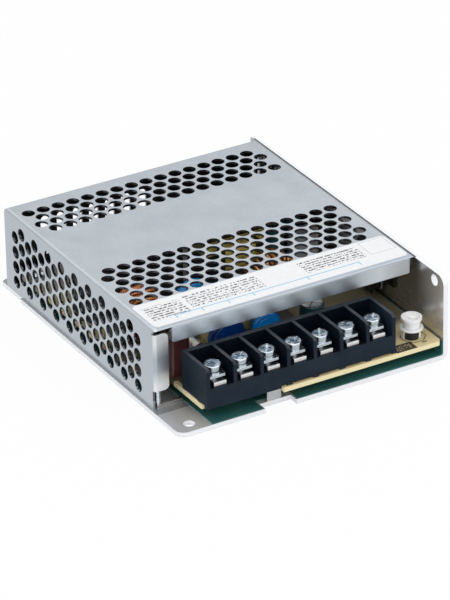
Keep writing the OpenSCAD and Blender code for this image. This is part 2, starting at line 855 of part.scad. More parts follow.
// Tinned plates on the ledge, each with a leg down through the board
module terminal_plates() {
    color("whitesmoke") for (i = [0 : ways - 1]) difference() {
        union() {
            box([way_x(i) - plate_w / 2, plate_y0, ledge_z], [way_x(i) + plate_w / 2, plate_y1, plate_z]);
            box([way_x(i) - leg_w / 2, plate_y1 - plate_t, board_z - leg_below],
                [way_x(i) + leg_w / 2, plate_y1, plate_z]);
        }
        translate([way_x(i), screw_y, ledge_z - cut]) cylinder(d = screw_d, h = plate_t + 2 * cut);
    }
}

// Square clamping washers
module square_washers() {
    half = washer_side / 2;
    color("silver") for (i = [0 : ways - 1]) translate([way_x(i), screw_y, 0])
        along_z(washer_z, washer_z + square_t) difference() {
            rounded_2d(-half, -half, half, half, 0.5);
            circle(d = screw_d + 0.3);
        }
}

// Split spring washers
module spring_washers() {
    color("silver") for (i = [0 : ways - 1]) translate([way_x(i), screw_y, 0])
        along_z(spring_z, spring_z + spring_t) difference() {
            circle(d = spring_d);
            circle(d = screw_d + 0.3);
            rotate(20) translate([0, -0.25]) square([spring_d, 0.5]);
        }
}

// Zinc-plated terminal screws
module terminal_screws() {
    color("silver") for (i = [0 : ways - 1]) translate([way_x(i), screw_y, head_z]) difference() {
        union() {
            pan_head(head_d, head_h);
            translate([0, 0, shank_end - head_z])
                cylinder(d = screw_d - 0.1, h = head_z - shank_end + touch);
        }
        translate([0, 0, head_h]) mirror([0, 0, 1]) cross_recess(1.3, head_d * 0.62, 0.9);
    }
}

// White trimmer frame: a thin collar on three legs, bored for the rotor's spindle
module trimmer_body() {
    color("ivory") translate([trimmer_x, trimmer_y, 0]) difference() {
        union() {
            translate([0, 0, collar_z - collar_t]) cylinder(d = collar_d, h = collar_t);
            trimmer_legs(trimmer_leg, board_top, collar_z - collar_t + touch);
        }
        cylinder(d = spindle_d + 2 * rotor_clear, h = collar_z + cut);
    }
}

// Square legs round the trimmer's axis
module trimmer_legs(w, z0, z1) {
    for (foot = trimmer_feet) translate(foot) along_z(z0, z1) square(w, center = true);
}

// Black resistor element between the trimmer's legs
module trimmer_element() {
    color([0.05, 0.05, 0.05]) translate([trimmer_x, trimmer_y, 0]) difference() {
        along_z(board_top, collar_z - collar_t) circle(d = element_d);
        trimmer_legs(trimmer_leg + 2 * slip, board_top - cut, collar_z + cut);
        translate([0, 0, board_top + 0.8]) cylinder(d = spindle_d + 2 * rotor_clear, h = collar_h);
    }
}

// White rotor: a tapered cup with a rim and a cross recess, turned by a screwdriver
module trimmer_rotor() {
    rim_h = rotor_h * 0.26;
    recess = rotor_h * 0.36;
    cup_z = collar_z + rotor_clear;
    top_z = cup_z + rotor_h;
    color("white") translate([trimmer_x, trimmer_y, 0]) difference() {
        union() {
            translate([0, 0, cup_z])
                cylinder(d1 = rotor_d * 0.77, d2 = rotor_d * 0.88, h = rotor_h - rim_h + touch);
            translate([0, 0, top_z - rim_h]) cylinder(d = rotor_d, h = rim_h);
            translate([0, 0, board_top + 1]) cylinder(d = spindle_d, h = cup_z - board_top - 1 + touch);
        }
        translate([0, 0, top_z - recess]) cylinder(d = rotor_d * 0.78, h = rotor_h);
        translate([0, 0, top_z - recess]) mirror([0, 0, 1])
            cross_recess(rotor_h * 0.2, rotor_d * 0.6, rotor_d * 0.14);
    }
}

// Cartridge fuse: a tube between two caps, lying along Y on its clips
module input_fuse() {
    fuse_d = 5.2;
    fuse_l = 20;
    cap_l = 5;
    fuse_z = board_top + 1.2 + fuse_d / 2;
    color("lightgray") translate([fuse_x, fuse_y - fuse_l / 2, fuse_z]) rotate([-90, 0, 0]) {
        cylinder(d = fuse_d, h = cap_l);
        translate([0, 0, cap_l - touch]) cylinder(d = fuse_d - 0.5, h = fuse_l - 2 * cap_l + 2 * touch);
        translate([0, 0, fuse_l - cap_l]) cylinder(d = fuse_d, h = cap_l);
        for (z = [cap_l * 0.2, fuse_l - cap_l * 0.8])
            translate([-fuse_d / 2 - 0.4, 0, z]) cube([fuse_d + 0.8, fuse_z - board_top, cap_l * 0.6]);
    }
}

// Rounded upright slab standing on the board, its broad face towards Y
module dipped(w, t, h) {
    r = t * 0.35;
    along_z(board_top, board_top + h) rounded_2d(-w / 2, -t / 2, w / 2, t / 2, r);
}

// Upright disc with a bulged face and two leads down to the board, its axis along Y
module disc(d, t, lead) {
    translate([0, 0, board_top + lead + d / 2]) rotate([90, 0, 0]) rotate_extrude() {
        translate([0, -t / 4]) square([d / 2 - t / 4, t / 2]);
        translate([0, -t / 2]) square([d / 2 - t / 4 - touch, t]);
        translate([d / 2 - t / 4, 0]) circle(t / 4);
    }
    for (x = [-d / 4, d / 4]) translate([x, 0, board_top]) cylinder(d = lead_d, h = lead + d / 4);
}

// Dark red dipped film capacitor
module film_capacitor() {
    color([0.35, 0.1, 0.08]) translate([film_cap_x, film_cap_y, 0])
        dipped(film_cap_w, film_cap_t, film_cap_h);
}

// Blue ceramic safety capacitors behind the terminal block
module safety_capacitors() {
    color("royalblue") for (i = [0, 1]) translate([disc_xs[i], disc_y, 0])
        disc(disc_ds[i], disc_t, disc_mid - disc_ds[i] / 2);
}

// Blue surge-absorbing disc
module varistor() {
    color("steelblue") translate([varistor_x, varistor_y, 0]) disc(varistor_d, varistor_t, disc_lead);
}

// Dark inrush-limiting disc, its axis along X
module thermistor() {
    color([0.12, 0.13, 0.12]) translate([thermistor_x, thermistor_y, 0]) rotate([0, 0, 90])
        disc(thermistor_d, thermistor_t, disc_lead);
}

// Ring with its axis along X, standing on its winding
module ring_core(d, bore, w) {
    rotate([0, 90, 0]) rotate_extrude() translate([bore / 2, -w / 2]) square([(d - bore) / 2, w]);
}

// One sector of winding wrapped round a ring's section
module ring_winding(d, bore, w, layer, start, sweep) {
    fit = 0.05;
    rotate([0, 90, 0]) rotate([0, 0, start]) rotate_extrude(angle = sweep) difference() {
        translate([bore / 2 - layer, -w / 2 - layer]) square([(d - bore) / 2 + 2 * layer, w + 2 * layer]);
        translate([bore / 2 - fit, -w / 2 - fit]) square([(d - bore) / 2 + 2 * fit, w + 2 * fit]);
    }
}

// Height of a standing ring's middle
function ring_z(d) = board_top + d / 2 + wire_layer;

// Ferrite ring of the mains filter choke, with a separator across its bore
module filter_choke_core() {
    color([0.1, 0.12, 0.1]) translate([filter_x, filter_y, ring_z(filter_d)]) {
        ring_core(filter_d, filter_bore, filter_w);
        box([-filter_w / 2, -filter_bore / 2 - touch, -0.6], [filter_w / 2, filter_bore / 2 + touch, 0.6]);
    }
}

// Two copper windings of the mains filter choke
module filter_choke_windings() {
    color("orangered") translate([filter_x, filter_y, ring_z(filter_d)]) for (start = [110, 290])
        ring_winding(filter_d, filter_bore, filter_w, wire_layer, start, 140);
}

// Olive boxed capacitor across the mains
module across_line_capacitor() {
    color([0.45, 0.42, 0.25]) translate([line_x, line_y, 0]) dipped(line_w, line_t, line_h);
}

// Bridge rectifier: a flat slab with one chamfered corner on four leads
module bridge_rectifier() {
    color([0.1, 0.1, 0.11]) translate([bridge_x, bridge_y, 0]) {
        along_y(-bridge_t / 2, bridge_t / 2) translate([-bridge_w / 2, board_top + bridge_lead]) polygon([
            [0, 0], [bridge_w, 0], [bridge_w, bridge_h - bridge_corner],
            [bridge_w - bridge_corner, bridge_h], [0, bridge_h]
        ]);
        for (i = [-1.5 : 1 : 1.5]) translate([i * bridge_w / 4, 0, board_top])
            cylinder(d = lead_d, h = bridge_lead + touch);
    }
}

// Electrolytic can with a crimp groove, standing on the board
module can(d, h) {
    r = d / 2;
    lip = d * 0.05;
    groove = d * 0.04;
    groove_z = d * 0.16;
    translate([0, 0, board_top]) rotate_extrude() difference() {
        union() {
            square([r, h - lip]);
            square([r - lip, h]);
            translate([r - lip, h - lip]) circle(lip);
        }
        translate([r + groove * 0.5, groove_z]) circle(groove * 1.5);
    }
}

// Two mains capacitors side by side
module bulk_capacitors() {
    color([0.16, 0.17, 0.19]) for (i = [0, 1]) translate([bulk_x + i * bulk_step, bulk_y, 0])
        can(bulk_d, bulk_h);
}

// Output smoothing capacitors
module output_capacitors() {
    color([0.05, 0.22, 0.3]) for (spot = output_spots) translate([spot.x, spot.y, 0])
        can(output_d, output_h);
}

// Small capacitor behind the terminal block
module auxiliary_capacitor() {
    color([0.06, 0.2, 0.2]) translate([aux_x, aux_y, 0]) can(aux_d, aux_h);
}

// Grey boxed capacitor on the output side
module snubber_capacitor() {
    color("dimgray") translate([snubber_x, snubber_y, 0])
        dipped(snubber_w, snubber_t, snubber_h);
}

// Two E-shaped ferrite halves as one closed core, the middle post along X
module transformer_core() {
    color([0.13, 0.13, 0.14]) translate([core_x, core_y, core_z]) {
        along_y(-core_t / 2, core_t / 2) difference() {
            translate([-core_l / 2, 0]) square([core_l, core_h]);
            translate([-window_l / 2, core_leg]) square([window_l, window_h]);
        }
        translate([-window_l / 2 - touch, 0, core_h / 2]) rotate([0, 90, 0])
            cylinder(d = post_d, h = window_l + 2 * touch);
    }
}

// Bobbin: a tube round the post, two flanges and the pin rail on the board
module transformer_bobbin() {
    flange_t = 0.7;
    tube_t = 0.5;
    length = window_l - 2 * core_gap;
    side = window_h - 2 * core_gap;
    color([0.2, 0.18, 0.16]) translate([core_x, core_y, core_z]) {
        difference() {
            union() {
                for (x = [-length / 2, length / 2 - flange_t])
                    box([x, -winding_d / 2, core_leg + core_gap],
                        [x + flange_t, winding_d / 2, core_leg + core_gap + side]);
                translate([-length / 2, 0, core_h / 2]) rotate([0, 90, 0])
                    cylinder(d = post_d + 2 * (core_gap + tube_t), h = length);
            }
            translate([-length, 0, core_h / 2]) rotate([0, 90, 0])
                cylinder(d = post_d + 2 * core_gap, h = 2 * length);
        }
        for (s = [-1, 1]) translate([0, s * (winding_d / 2 - 1.5), 0])
            box([-length / 2, -1.5, board_top - core_z],
                [length / 2, 1.5, core_leg + core_gap + touch]);
    }
}

// Winding under yellow tape, between the bobbin's flanges
module transformer_winding() {
    inset = core_gap + 0.75;
    half = window_l / 2 - inset;
    bore = post_d + 2 * (core_gap + 0.5) + 0.1;
    low = core_leg + core_gap + 0.1;
    high = core_h - core_leg - core_gap - 0.1;
    color("goldenrod") translate([core_x, core_y, core_z]) difference() {
        along_x(-half, half) rounded_2d(-winding_d / 2 + 0.4, low, winding_d / 2 - 0.4, high, 3);
        translate([-core_l, 0, core_h / 2]) rotate([0, 90, 0]) cylinder(d = bore, h = 2 * core_l);
    }
}

// Powdered-iron ring of the output choke
module output_choke_core() {
    color([0.12, 0.12, 0.12]) translate([ring_x, ring_y, ring_z(output_ring_d)]) rotate([0, 0, 90])
        ring_core(output_ring_d, ring_bore, output_ring_w);
}

// Copper winding of the output choke
module output_choke_winding() {
    color("darkorange") translate([ring_x, ring_y, ring_z(output_ring_d)]) rotate([0, 0, 90])
        ring_winding(output_ring_d, ring_bore, output_ring_w, wire_layer, 20, 320);
}

// Dual-in-line package with its side legs, standing on the board
module package(w, l, pins) {
    body_z = board_top + package_lift;
    box([-w / 2, -l / 2, body_z], [w / 2, l / 2, body_z + package_h]);
    for (i = [0 : pins - 1], s = [-1, 1]) translate([s * (w / 2), (i - (pins - 1) / 2) * pin_step, 0])
        box([-lead_d * 0.4, -lead_d / 2, board_top], [lead_d * 0.4, lead_d / 2, body_z + package_h / 2]);
}

// Switching controller
module control_chip() {
    color([0.08, 0.08, 0.08]) translate([chip_x, chip_y, 0]) package(chip_w, chip_l, 4);
}

// Two optocouplers across the isolation gap
module optocouplers() {
    color([0.1, 0.1, 0.1]) for (x = opto_xs) translate([x, opto_y, 0]) package(opto_w, opto_l, 2);
}

// Silicone pads between the cooled devices and the wall
module thermal_pads() {
    color("lightgray") for (y = [rectifier_y, transistor_y])
        box([wall_in - pad_t, y - device_w / 2, device_z - 0.5],
            [wall_in, y + device_w / 2, device_z + device_h - 0.4]);
}

// Fully moulded power device on three leads, its back on the pad
module power_device(y) {
    difference() {
        box([device_x, y - device_w / 2, device_z],
            [device_x + device_t, y + device_w / 2, device_z + device_h]);
        box([device_x - cut, y - device_w / 2 - cut, device_z + device_h * 0.68],
            [device_x + device_t * 0.42, y + device_w / 2 + cut, device_z + device_h + cut]);
    }
    for (i = [-1 : 1]) translate([device_x + device_t / 2, y + i * pin_step, 0])
        box([-lead_d * 0.4, -lead_d / 2, board_top], [lead_d * 0.4, lead_d / 2, device_z + touch]);
}

module switching_transistor() {
    color([0.1, 0.1, 0.1]) power_device(transistor_y);
}

module output_rectifier() {
    color([0.1, 0.1, 0.1]) power_device(rectifier_y);
}

// Middle of each clip screw along Y
function clip_screw_ys() = [for (y = [rectifier_y, transistor_y]) y - clip_arm - clip_foot / 2];

// Spring clips that press the devices on the wall
module device_clips() {
    front = device_x - clip_t;
    color("silver") for (y = [rectifier_y, transistor_y]) difference() {
        along_z(clip_z, clip_z + clip_h) {
            translate([front, y - clip_arm]) square([clip_t, device_w / 4 + clip_arm]);
            translate([front, y - clip_arm]) square([wall_in - front, clip_t]);
            translate([wall_in - clip_t, y - clip_arm - clip_foot]) square([clip_t, clip_foot + clip_t]);
        }
        translate([wall_in - 2 * cut, y - clip_arm - clip_foot / 2, clip_screw_z]) rotate([0, 90, 0])
            cylinder(d = clip_screw_d + 0.3, h = 4 * cut);
    }
}

// Pan-head screws that hold the clips, threaded into the wall
module clip_screws() {
    head = clip_screw_d * 0.7;
    color("silver") for (y = clip_screw_ys()) translate([wall_in - clip_t, y, clip_screw_z])
        rotate([0, -90, 0]) difference() {
            union() {
                pan_head(clip_screw_d * 1.8, head);
                translate([0, 0, -clip_t - chassis_t])
                    cylinder(d = clip_screw_d - 0.1, h = clip_t + chassis_t + touch);
            }
            translate([0, 0, head]) mirror([0, 0, 1]) cross_recess(1, clip_screw_d, 0.7);
        }
}

chassis();
cover();
cover_screws();
rating_label();
insulation_film();
board_standoffs();
circuit_board();
board_screws();
terminal_block();
terminal_plates();
square_washers();
spring_washers();
terminal_screws();
trimmer_body();
trimmer_element();
trimmer_rotor();
input_fuse();
film_capacitor();
safety_capacitors();
varistor();
thermistor();
filter_choke_core();
filter_choke_windings();
across_line_capacitor();
bridge_rectifier();
bulk_capacitors();
transformer_core();
transformer_bobbin();
transformer_winding();
output_choke_core();
output_choke_winding();
output_capacitors();
auxiliary_capacitor();
snubber_capacitor();
control_chip();
optocouplers();
thermal_pads();
switching_transistor();
output_rectifier();
device_clips();
clip_screws();
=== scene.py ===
import math

import bmesh
import bpy
from mathutils import Euler, Matrix, Vector


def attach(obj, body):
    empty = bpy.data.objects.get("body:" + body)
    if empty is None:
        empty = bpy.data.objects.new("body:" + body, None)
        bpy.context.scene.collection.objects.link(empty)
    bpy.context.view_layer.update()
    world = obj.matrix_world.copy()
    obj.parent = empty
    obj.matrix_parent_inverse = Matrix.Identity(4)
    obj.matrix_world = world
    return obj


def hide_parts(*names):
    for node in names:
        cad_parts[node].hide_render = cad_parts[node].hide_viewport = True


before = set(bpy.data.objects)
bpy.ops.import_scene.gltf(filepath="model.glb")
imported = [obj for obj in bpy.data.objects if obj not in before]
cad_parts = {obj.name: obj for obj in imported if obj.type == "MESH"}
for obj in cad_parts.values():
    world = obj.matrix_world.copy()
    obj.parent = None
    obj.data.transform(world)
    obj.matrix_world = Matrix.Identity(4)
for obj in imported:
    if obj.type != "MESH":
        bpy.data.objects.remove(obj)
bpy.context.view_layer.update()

# The view of the finished supply: a long lens from the front left, well above the terminals.
# The camera stands 1.46 m away, so the case keeps almost parallel edges.
camera_place = Vector((-0.632935, -1.116764, 0.693741))
camera_turn, camera_drop, camera_roll = -29.628, 28.128, -1.137
camera = bpy.data.objects.new("camera", bpy.data.cameras.new("camera"))
camera.data.lens = 271.53
camera.data.sensor_width = 36
camera.data.clip_end = 20
look = Euler((math.radians(90 - camera_drop), 0, math.radians(camera_turn))).to_matrix()
look = look @ Matrix.Rotation(math.radians(camera_roll), 3, "Z")
camera.matrix_world = Matrix.Translation(camera_place) @ look.to_4x4()
bpy.context.scene.collection.objects.link(camera)
bpy.context.scene.camera = camera

# Chassis: one sheet of mill-finish aluminium, cut, drilled and folded once into floor and wall.
# Rolling left a fine grain along its length and handling left soft patches. The sheared edges are
# bright and matt. A painted shadow darkens the inner strip of the wall's top, painted shade darkens
# the floor behind the cover's front and the wall's inner face towards the bottom, and a painted tan
# reflection of the board lies on the wall's inner face at the open front.
mm = 0.001


class Shade:
    """A shader socket that takes part in arithmetic; every step adds its node to the same tree."""

    def __init__(self, tree, socket=None):
        self.tree = tree
        self.socket = socket

    def add(self, kind, settings=None, sockets=None, out=0):
        node = self.tree.nodes.new("ShaderNode" + kind)
        for name, value in (settings or {}).items():
            setattr(node, name, value)
        for name, value in (sockets or {}).items():
            if isinstance(value, Shade):
                self.tree.links.new(value.socket, node.inputs[name])
            else:
                node.inputs[name].default_value = value
        return Shade(self.tree, node.outputs[out])

    def math(self, operation, first, second=0.0):
        return self.add("Math", {"operation": operation}, {0: first, 1: second})

    def __add__(self, other):
        return self.math("ADD", self, other)

    def __radd__(self, other):
        return self.math("ADD", other, self)

    def __sub__(self, other):
        return self.math("SUBTRACT", self, other)

    def __rsub__(self, other):
        return self.math("SUBTRACT", other, self)

    def __mul__(self, other):
        return self.math("MULTIPLY", self, other)

    def __rmul__(self, other):
        return self.math("MULTIPLY", other, self)

    def __truediv__(self, other):
        return self.math("DIVIDE", self, other)

    def __rtruediv__(self, other):
        return self.math("DIVIDE", other, self)

    def __mod__(self, other):
        return self.math("FLOORED_MODULO", self, other)

    def __abs__(self):
        return self.math("ABSOLUTE", self)

    def __lt__(self, other):
        return self.math("LESS_THAN", self, other)

    def __gt__(self, other):
        return self.math("GREATER_THAN", self, other)

    def __or__(self, other):
        return self.math("MAXIMUM", self, other)


def finish_of(name, metal=0.0, coat=0.0):
    """A new finish with one Principled shader; returns the finish, its shader's inputs and its tree."""
    finish = bpy.data.materials.new(name)
    finish.use_nodes = True
    inputs = finish.node_tree.nodes["Principled BSDF"].inputs
    inputs["Metallic"].default_value = metal
    inputs["Coat Weight"].default_value = coat
    return finish, inputs, Shade(finish.node_tree)


def feed(inputs, **values):
    """Links varying values to a shader's sockets, with spaces for the underscores of their names."""
    for name, value in values.items():
        value.tree.links.new(value.socket, inputs[name.replace("_", " ")])


def place_along(shade, axis):
    """Where a point lies along one axis, in millimetres."""
    spot = shade.add("TexCoord", out="Object")
    return shade.add("SeparateXYZ", {}, {"Vector": spot}, out=axis) * (1 / mm)


def facing_along(shade, axis):
    """How far the surface faces along one axis, from -1 to 1."""
    turn = shade.add("TexCoord", out="Normal")
    return shade.add("SeparateXYZ", {}, {"Vector": turn}, out=axis)


def cloud(shade, scale, stretch=(1, 1, 1), detail=3.0, rough=0.5):
    """A soft noise between about 0.3 and 0.7."""
    spot = shade.add("TexCoord", out="Object")
    drawn = shade.add("Mapping", {}, {"Vector": spot, "Scale": stretch})
    return shade.add("TexNoise", {}, {"Vector": drawn, "Scale": scale,
                                      "Detail": detail, "Roughness": rough})


def spread(shade, value, low, high):
    """A value drawn out so that it is 0 at one limit and 1 at the other."""
    return shade.add("MapRange", {}, {"Value": value, "From Min": low, "From Max": high})


def blend_of(shade, share, first, second):
    """A colour between two others, each of them a plain colour or one that varies."""
    first, second = (colour if isinstance(colour, Shade) else (*colour, 1) for colour in (first, second))
    return shade.add("MixRGB", {}, {"Fac": share, "Color1": first, "Color2": second})


def within(value, low, high):
    """1 between two limits."""
    return (value > low) * (value < high)


def bumped(shade, height, strength, depth, radius=None):
    """A bump of some depth, over edges that are rounded by a small radius, both in millimetres."""
    sockets = {"Strength": strength, "Distance": depth * mm, "Height": height}
    if radius:
        sockets["Normal"] = shade.add("Bevel", {"samples": 4}, {"Radius": radius * mm})
    return shade.add("Bump", {}, sockets)


def dress(finish, *names):
    """Puts one finish on CAD pieces."""
    for name in names:
        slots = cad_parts[name].data.materials
        slots.clear()
        slots.append(finish)


floor_under, floor_over, floor_right, fold_top = 1.49, 1.6, 45, 3.5
wall_near, wall_inner, wall_top, sheet_end = 47, 47.2, 28.8, 59.7
gap_shadow_outer, gap_shadow_front, gap_shadow_rear = 47.85, -43, 58
reflection_start, reflection_full, reflection_low, reflection_high = -43.0, -59.0, 8.0, 18.0
shade_front, shade_low, shade_high = -45.5, 9.0, 20.0
mill_dull, mill_bright, shade_grey = (0.60, 0.60, 0.62), (0.78, 0.78, 0.78), (0.22, 0.22, 0.23)
board_reflection_tan, sheared_white, gap_shadow_black = (0.76, 0.68, 0.58), (0.93, 0.935, 0.95), (0.09, 0.085, 0.085)
aluminium, inputs, shade = finish_of("mill_aluminium")
x, y, z = (place_along(shade, axis) for axis in "XYZ")
nx, ny, nz = (facing_along(shade, axis) for axis in "XYZ")
grain = cloud(shade, 900, (1, 0.02, 1), 4)
patch = spread(shade, cloud(shade, 45, (1, 0.5, 1)), 0.35, 0.65)
floor_edge = (z < floor_under) * (abs(nz) < 0.5) * (x < floor_right)
wall_edge = (x > wall_inner) * (z > fold_top) * (abs(nx) < 0.5)
end_edge = (abs(ny) > 0.9) * (abs(y) > sheet_end)
sheared = floor_edge | wall_edge | end_edge
# Painted shadow: the inner strip of the wall's top is painted near black, the shadow of the gap beside the
# cover.
wall_strip = within(x, wall_inner, gap_shadow_outer) * within(y, gap_shadow_front, gap_shadow_rear)
painted_gap_shadow = (nz > 0.5) * (z > wall_top) * wall_strip
scuffed = (nz > 0.5) * (z < floor_over)
wall_face = (nx < -0.5) * (x > wall_near)
# Painted reflection: the wall's inner face in front of the cover is painted tan, the board mirrored in it,
# strongest at the front and higher up, and made less metallic there.
reflection_height = 0.5 + spread(shade, z, reflection_low, reflection_high) * 0.5
painted_light = wall_face * spread(shade, y, reflection_start, reflection_full) * reflection_height
# Painted shade: the floor's top behind the cover's front and the wall's inner face towards its bottom are
# blended towards grey.
painted_shade = scuffed * (y > shade_front) * 0.7 | wall_face * spread(shade, z, shade_high, shade_low) * 0.3
sheet = blend_of(shade, patch, mill_dull, mill_bright)
sheet = blend_of(shade, painted_shade, sheet, shade_grey)
sheet = blend_of(shade, painted_light * 0.6, sheet, board_reflection_tan)
cut = blend_of(shade, painted_gap_shadow, sheared_white, gap_shadow_black)
feed(inputs, Base_Color=blend_of(shade, sheared, sheet, cut),
     Metallic=1 - sheared * 0.75 - scuffed * 0.40 - painted_light * 0.4,
     Roughness=0.16 + grain * 0.10 + patch * 0.10 + sheared * 0.25 + scuffed * 0.14,
     Normal=bumped(shade, grain, 0.06, 0.2, 0.3))
dress(aluminium, "chassis")

# Insulating film: dark green polyester laid on the floor and turned up along the wall.
# It keeps the board's solder side away from the aluminium, and a painted highlight pales its cut
# left edge at the front.
rim_right, rim_rear = -36.9, -31.5
film_dark, film_light, rim_highlight_grey = (0.014, 0.088, 0.086), (0.028, 0.135, 0.130), (0.42, 0.50, 0.50)


def mottled(shade, noise, dark, light, low=0.3, high=0.7):
    """A colour that drifts between two others with a noise."""
    return blend_of(shade, spread(shade, noise, low, high), dark, light)


film_green, inputs, shade = finish_of("green_film")
inputs["Roughness"].default_value = 0.3
x, y = (place_along(shade, axis) for axis in "XY")
ripple = cloud(shade, 45, detail=2)
# Painted highlight: the film's cut left edge at the front is blended towards pale grey.
rim = (x < rim_right) * (y < rim_rear)
green = mottled(shade, ripple, film_dark, film_light)
feed(inputs, Base_Color=blend_of(shade, rim * 0.3, green, rim_highlight_grey),
     Normal=bumped(shade, ripple, 0.1, 1.0))
dress(film_green, "insulation_film")

# Standoffs and board screws: turned and pressed steel with bluish zinc plate.
# The standoffs are swaged into the floor and the screws go into them from above.
bluish_dark, bluish_light = (0.60, 0.67, 0.73), (0.80, 0.84, 0.87)


def even_finish(name, noise, dark, light, rough, relief=None, limits=(0.3, 0.7), metal=0.0, coat=0.0):
    """A finish whose colour, roughness (the least and what is added) and relief follow one noise."""
    finish, inputs, shade = finish_of(name, metal, coat)
    drift = cloud(shade, **noise)
    least, added = rough
    feed(inputs, Base_Color=mottled(shade, drift, dark, light, *limits), Roughness=least + drift * added)
    if relief:
        feed(inputs, Normal=bumped(shade, drift, *relief))
    return finish


zinc = even_finish("zinc_plate", {"scale": 700}, bluish_dark, bluish_light,
                   rough=(0.08, 0.22), relief=(0.05, 0.1, 0.2), limits=(0.35, 0.65), metal=1.0)
dress(zinc, "board_standoffs", "board_screws")

# Locating stud: a short threaded stud pressed into the floor behind the cover's return flange.
# Its thread is rolled, so each crest is a rounded ring.
weld_gap, round_angle = 0.001 * mm, math.radians(35)


def start(primitive, **settings):
    """Adds a primitive on its own, with its place in its mesh, and opens it for editing."""
    bpy.ops.object.select_all(action="DESELECT")
    primitive(**settings)
    bpy.ops.object.transform_apply(location=True, rotation=True, scale=True)
    bpy.ops.object.mode_set(mode="EDIT")
    return bpy.context.object


def pick(kind, test):
    """Selects the points, edges or faces of the open piece that pass a test."""
    bpy.ops.mesh.select_mode(type=kind)
    bpy.ops.mesh.select_all(action="DESELECT")
    mesh = bpy.context.object.data
    form = bmesh.from_edit_mesh(mesh)
    for item in {"VERT": form.verts, "EDGE": form.edges, "FACE": form.faces}[kind]:
        item.select_set(test(item))
    form.select_flush_mode()
    bmesh.update_edit_mesh(mesh)


def draw_out(rise, scale):
    """Extrudes the picked faces upwards or downwards and scales their ends."""
    bpy.ops.mesh.extrude_region_move(TRANSFORM_OT_translate={"value": (0, 0, rise)})
    bpy.ops.transform.resize(value=scale)


def cut_thread(step, crest, rings):
    """Draws the picked end face out into rounded rings, upwards or downwards."""
    for _ in range(rings):
        draw_out(step / 2, (crest, crest, 1))
        draw_out(step / 2, (1 / crest, 1 / crest, 1))


def close(piece, name, finish):
    """Leaves edit mode, smooths the round faces, and names and dresses the piece."""
    bpy.ops.mesh.select_all(action="SELECT")
    bpy.ops.mesh.remove_doubles(threshold=weld_gap)
    bpy.ops.mesh.normals_make_consistent(inside=False)
    bpy.ops.object.mode_set(mode="OBJECT")
    bpy.ops.object.shade_smooth_by_angle(angle=round_angle)
    piece.name = name
    piece.data.materials.clear()
    piece.data.materials.append(finish)


stud_place = (-45.8 * mm, -40.9 * mm, 3.0 * mm)
stud_r, stud_foot, stud_tip, tip_taper = 1.01 * mm, 0.4 * mm, 0.28 * mm, (0.7, 0.7, 1)
stud = start(bpy.ops.mesh.primitive_cylinder_add, vertices=20, radius=stud_r, depth=stud_foot,
             location=stud_place)
pick("FACE", lambda face: face.normal.z > 0.9)
cut_thread(step=0.5 * mm, crest=1.13, rings=14)
draw_out(stud_tip, tip_taper)
close(stud, "locating_stud", zinc)
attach(stud, "case")

# Circuit board: tan paper-epoxy laminate, punched to a stepped outline, with its copper underneath.
# Its punched edge is paler, and dark printing marks the trimmer's place. Behind the terminal block,
# painted shade darkens it to brown, broken in patches at the left, lighter at the right and greyer at
# the rear. Painted light pales its left edge at the front, and a painted shadow lies along the
# terminal block's foot.
tan_dark, tan_light = (0.66, 0.54, 0.27), (0.78, 0.66, 0.37)
edge_tan, lit_margin_tan = (0.86, 0.76, 0.46), (0.95, 0.86, 0.56)
shade_brown, shade_brown_light, shade_rear_grey = (0.062, 0.045, 0.022), (0.15, 0.13, 0.08), (0.26, 0.26, 0.25)
contact_shadow_brown, print_black = (0.32, 0.17, 0.05), (0.022, 0.018, 0.014)
board_shade_start, board_shade_full, step_left, step_rear = -43.0, -38.5, -37.0, -38
shade_gap_start, shade_gap_full, shade_gap_front = -20.0, -30.0, -28
lighter_shade_start, lighter_shade_full, lighter_shade_rear = 10.0, 20.0, -10
greyer_shade_start, greyer_shade_full = 18.0, 24.0
lit_margin_right, lit_margin_rear = -37.9, -42
contact_shadow_left, contact_shadow_front, contact_shadow_rear = -12, -59.0, -58.5
hatch_left, hatch_right, hatch_front, hatch_rear = 30.4, 37.9, -59.6, -55.0
hatch_rim_x, hatch_rim_y = 0.8, 0.9
trimmer_x, trimmer_y, outline_r, outline_wide, corner_cut = 40.5, -52.6, 4.0, 0.32, 0.72
pad_x, pad_y, pad_long, pad_wide = 41.7, -57.4, 1.0, 0.42
board_tan, inputs, shade = finish_of("tan_laminate")
x, y = (place_along(shade, axis) for axis in "XY")
nz = facing_along(shade, "Z")
above = nz > 0.5
fibre = cloud(shade, 260, detail=5, rough=0.6)
patch = cloud(shade, 30, detail=2)
tan = mottled(shade, fibre * 0.7 + patch * 0.3, tan_dark, tan_light, 0.35, 0.65)
tan = blend_of(shade, (abs(nz) < 0.5) * 0.8, tan, edge_tan)
# Painted light: the board's top along its left edge, in front of the cover, is blended towards a paler
# tan.
painted_lit_margin = above * (x < lit_margin_right) * (y < lit_margin_rear)
tan = blend_of(shade, painted_lit_margin * 0.7, tan, lit_margin_tan)
# Painted shade: from under the cover's front backwards the board is blended towards dark brown, in patches
# at the left, lighter at the right and greyer at the rear.
board_shade = spread(shade, y + patch * 3, board_shade_start, board_shade_full)
board_shade = board_shade * ((x > step_left) | (y > step_rear))
shade_gap_left = spread(shade, x + patch * 6, shade_gap_start, shade_gap_full) * (y > shade_gap_front)
shade_gap_left = shade_gap_left * spread(shade, patch, 0.40, 0.52)
lighter_shade_right = spread(shade, x, lighter_shade_start, lighter_shade_full) * (y < lighter_shade_rear)
greyer_shade_rear = spread(shade, y, greyer_shade_start, greyer_shade_full) * 0.8
brown = blend_of(shade, lighter_shade_right, shade_brown, shade_brown_light)
brown = blend_of(shade, greyer_shade_rear, brown, shade_rear_grey)
tan = blend_of(shade, board_shade * (0.93 - shade_gap_left * 0.8), tan, brown)
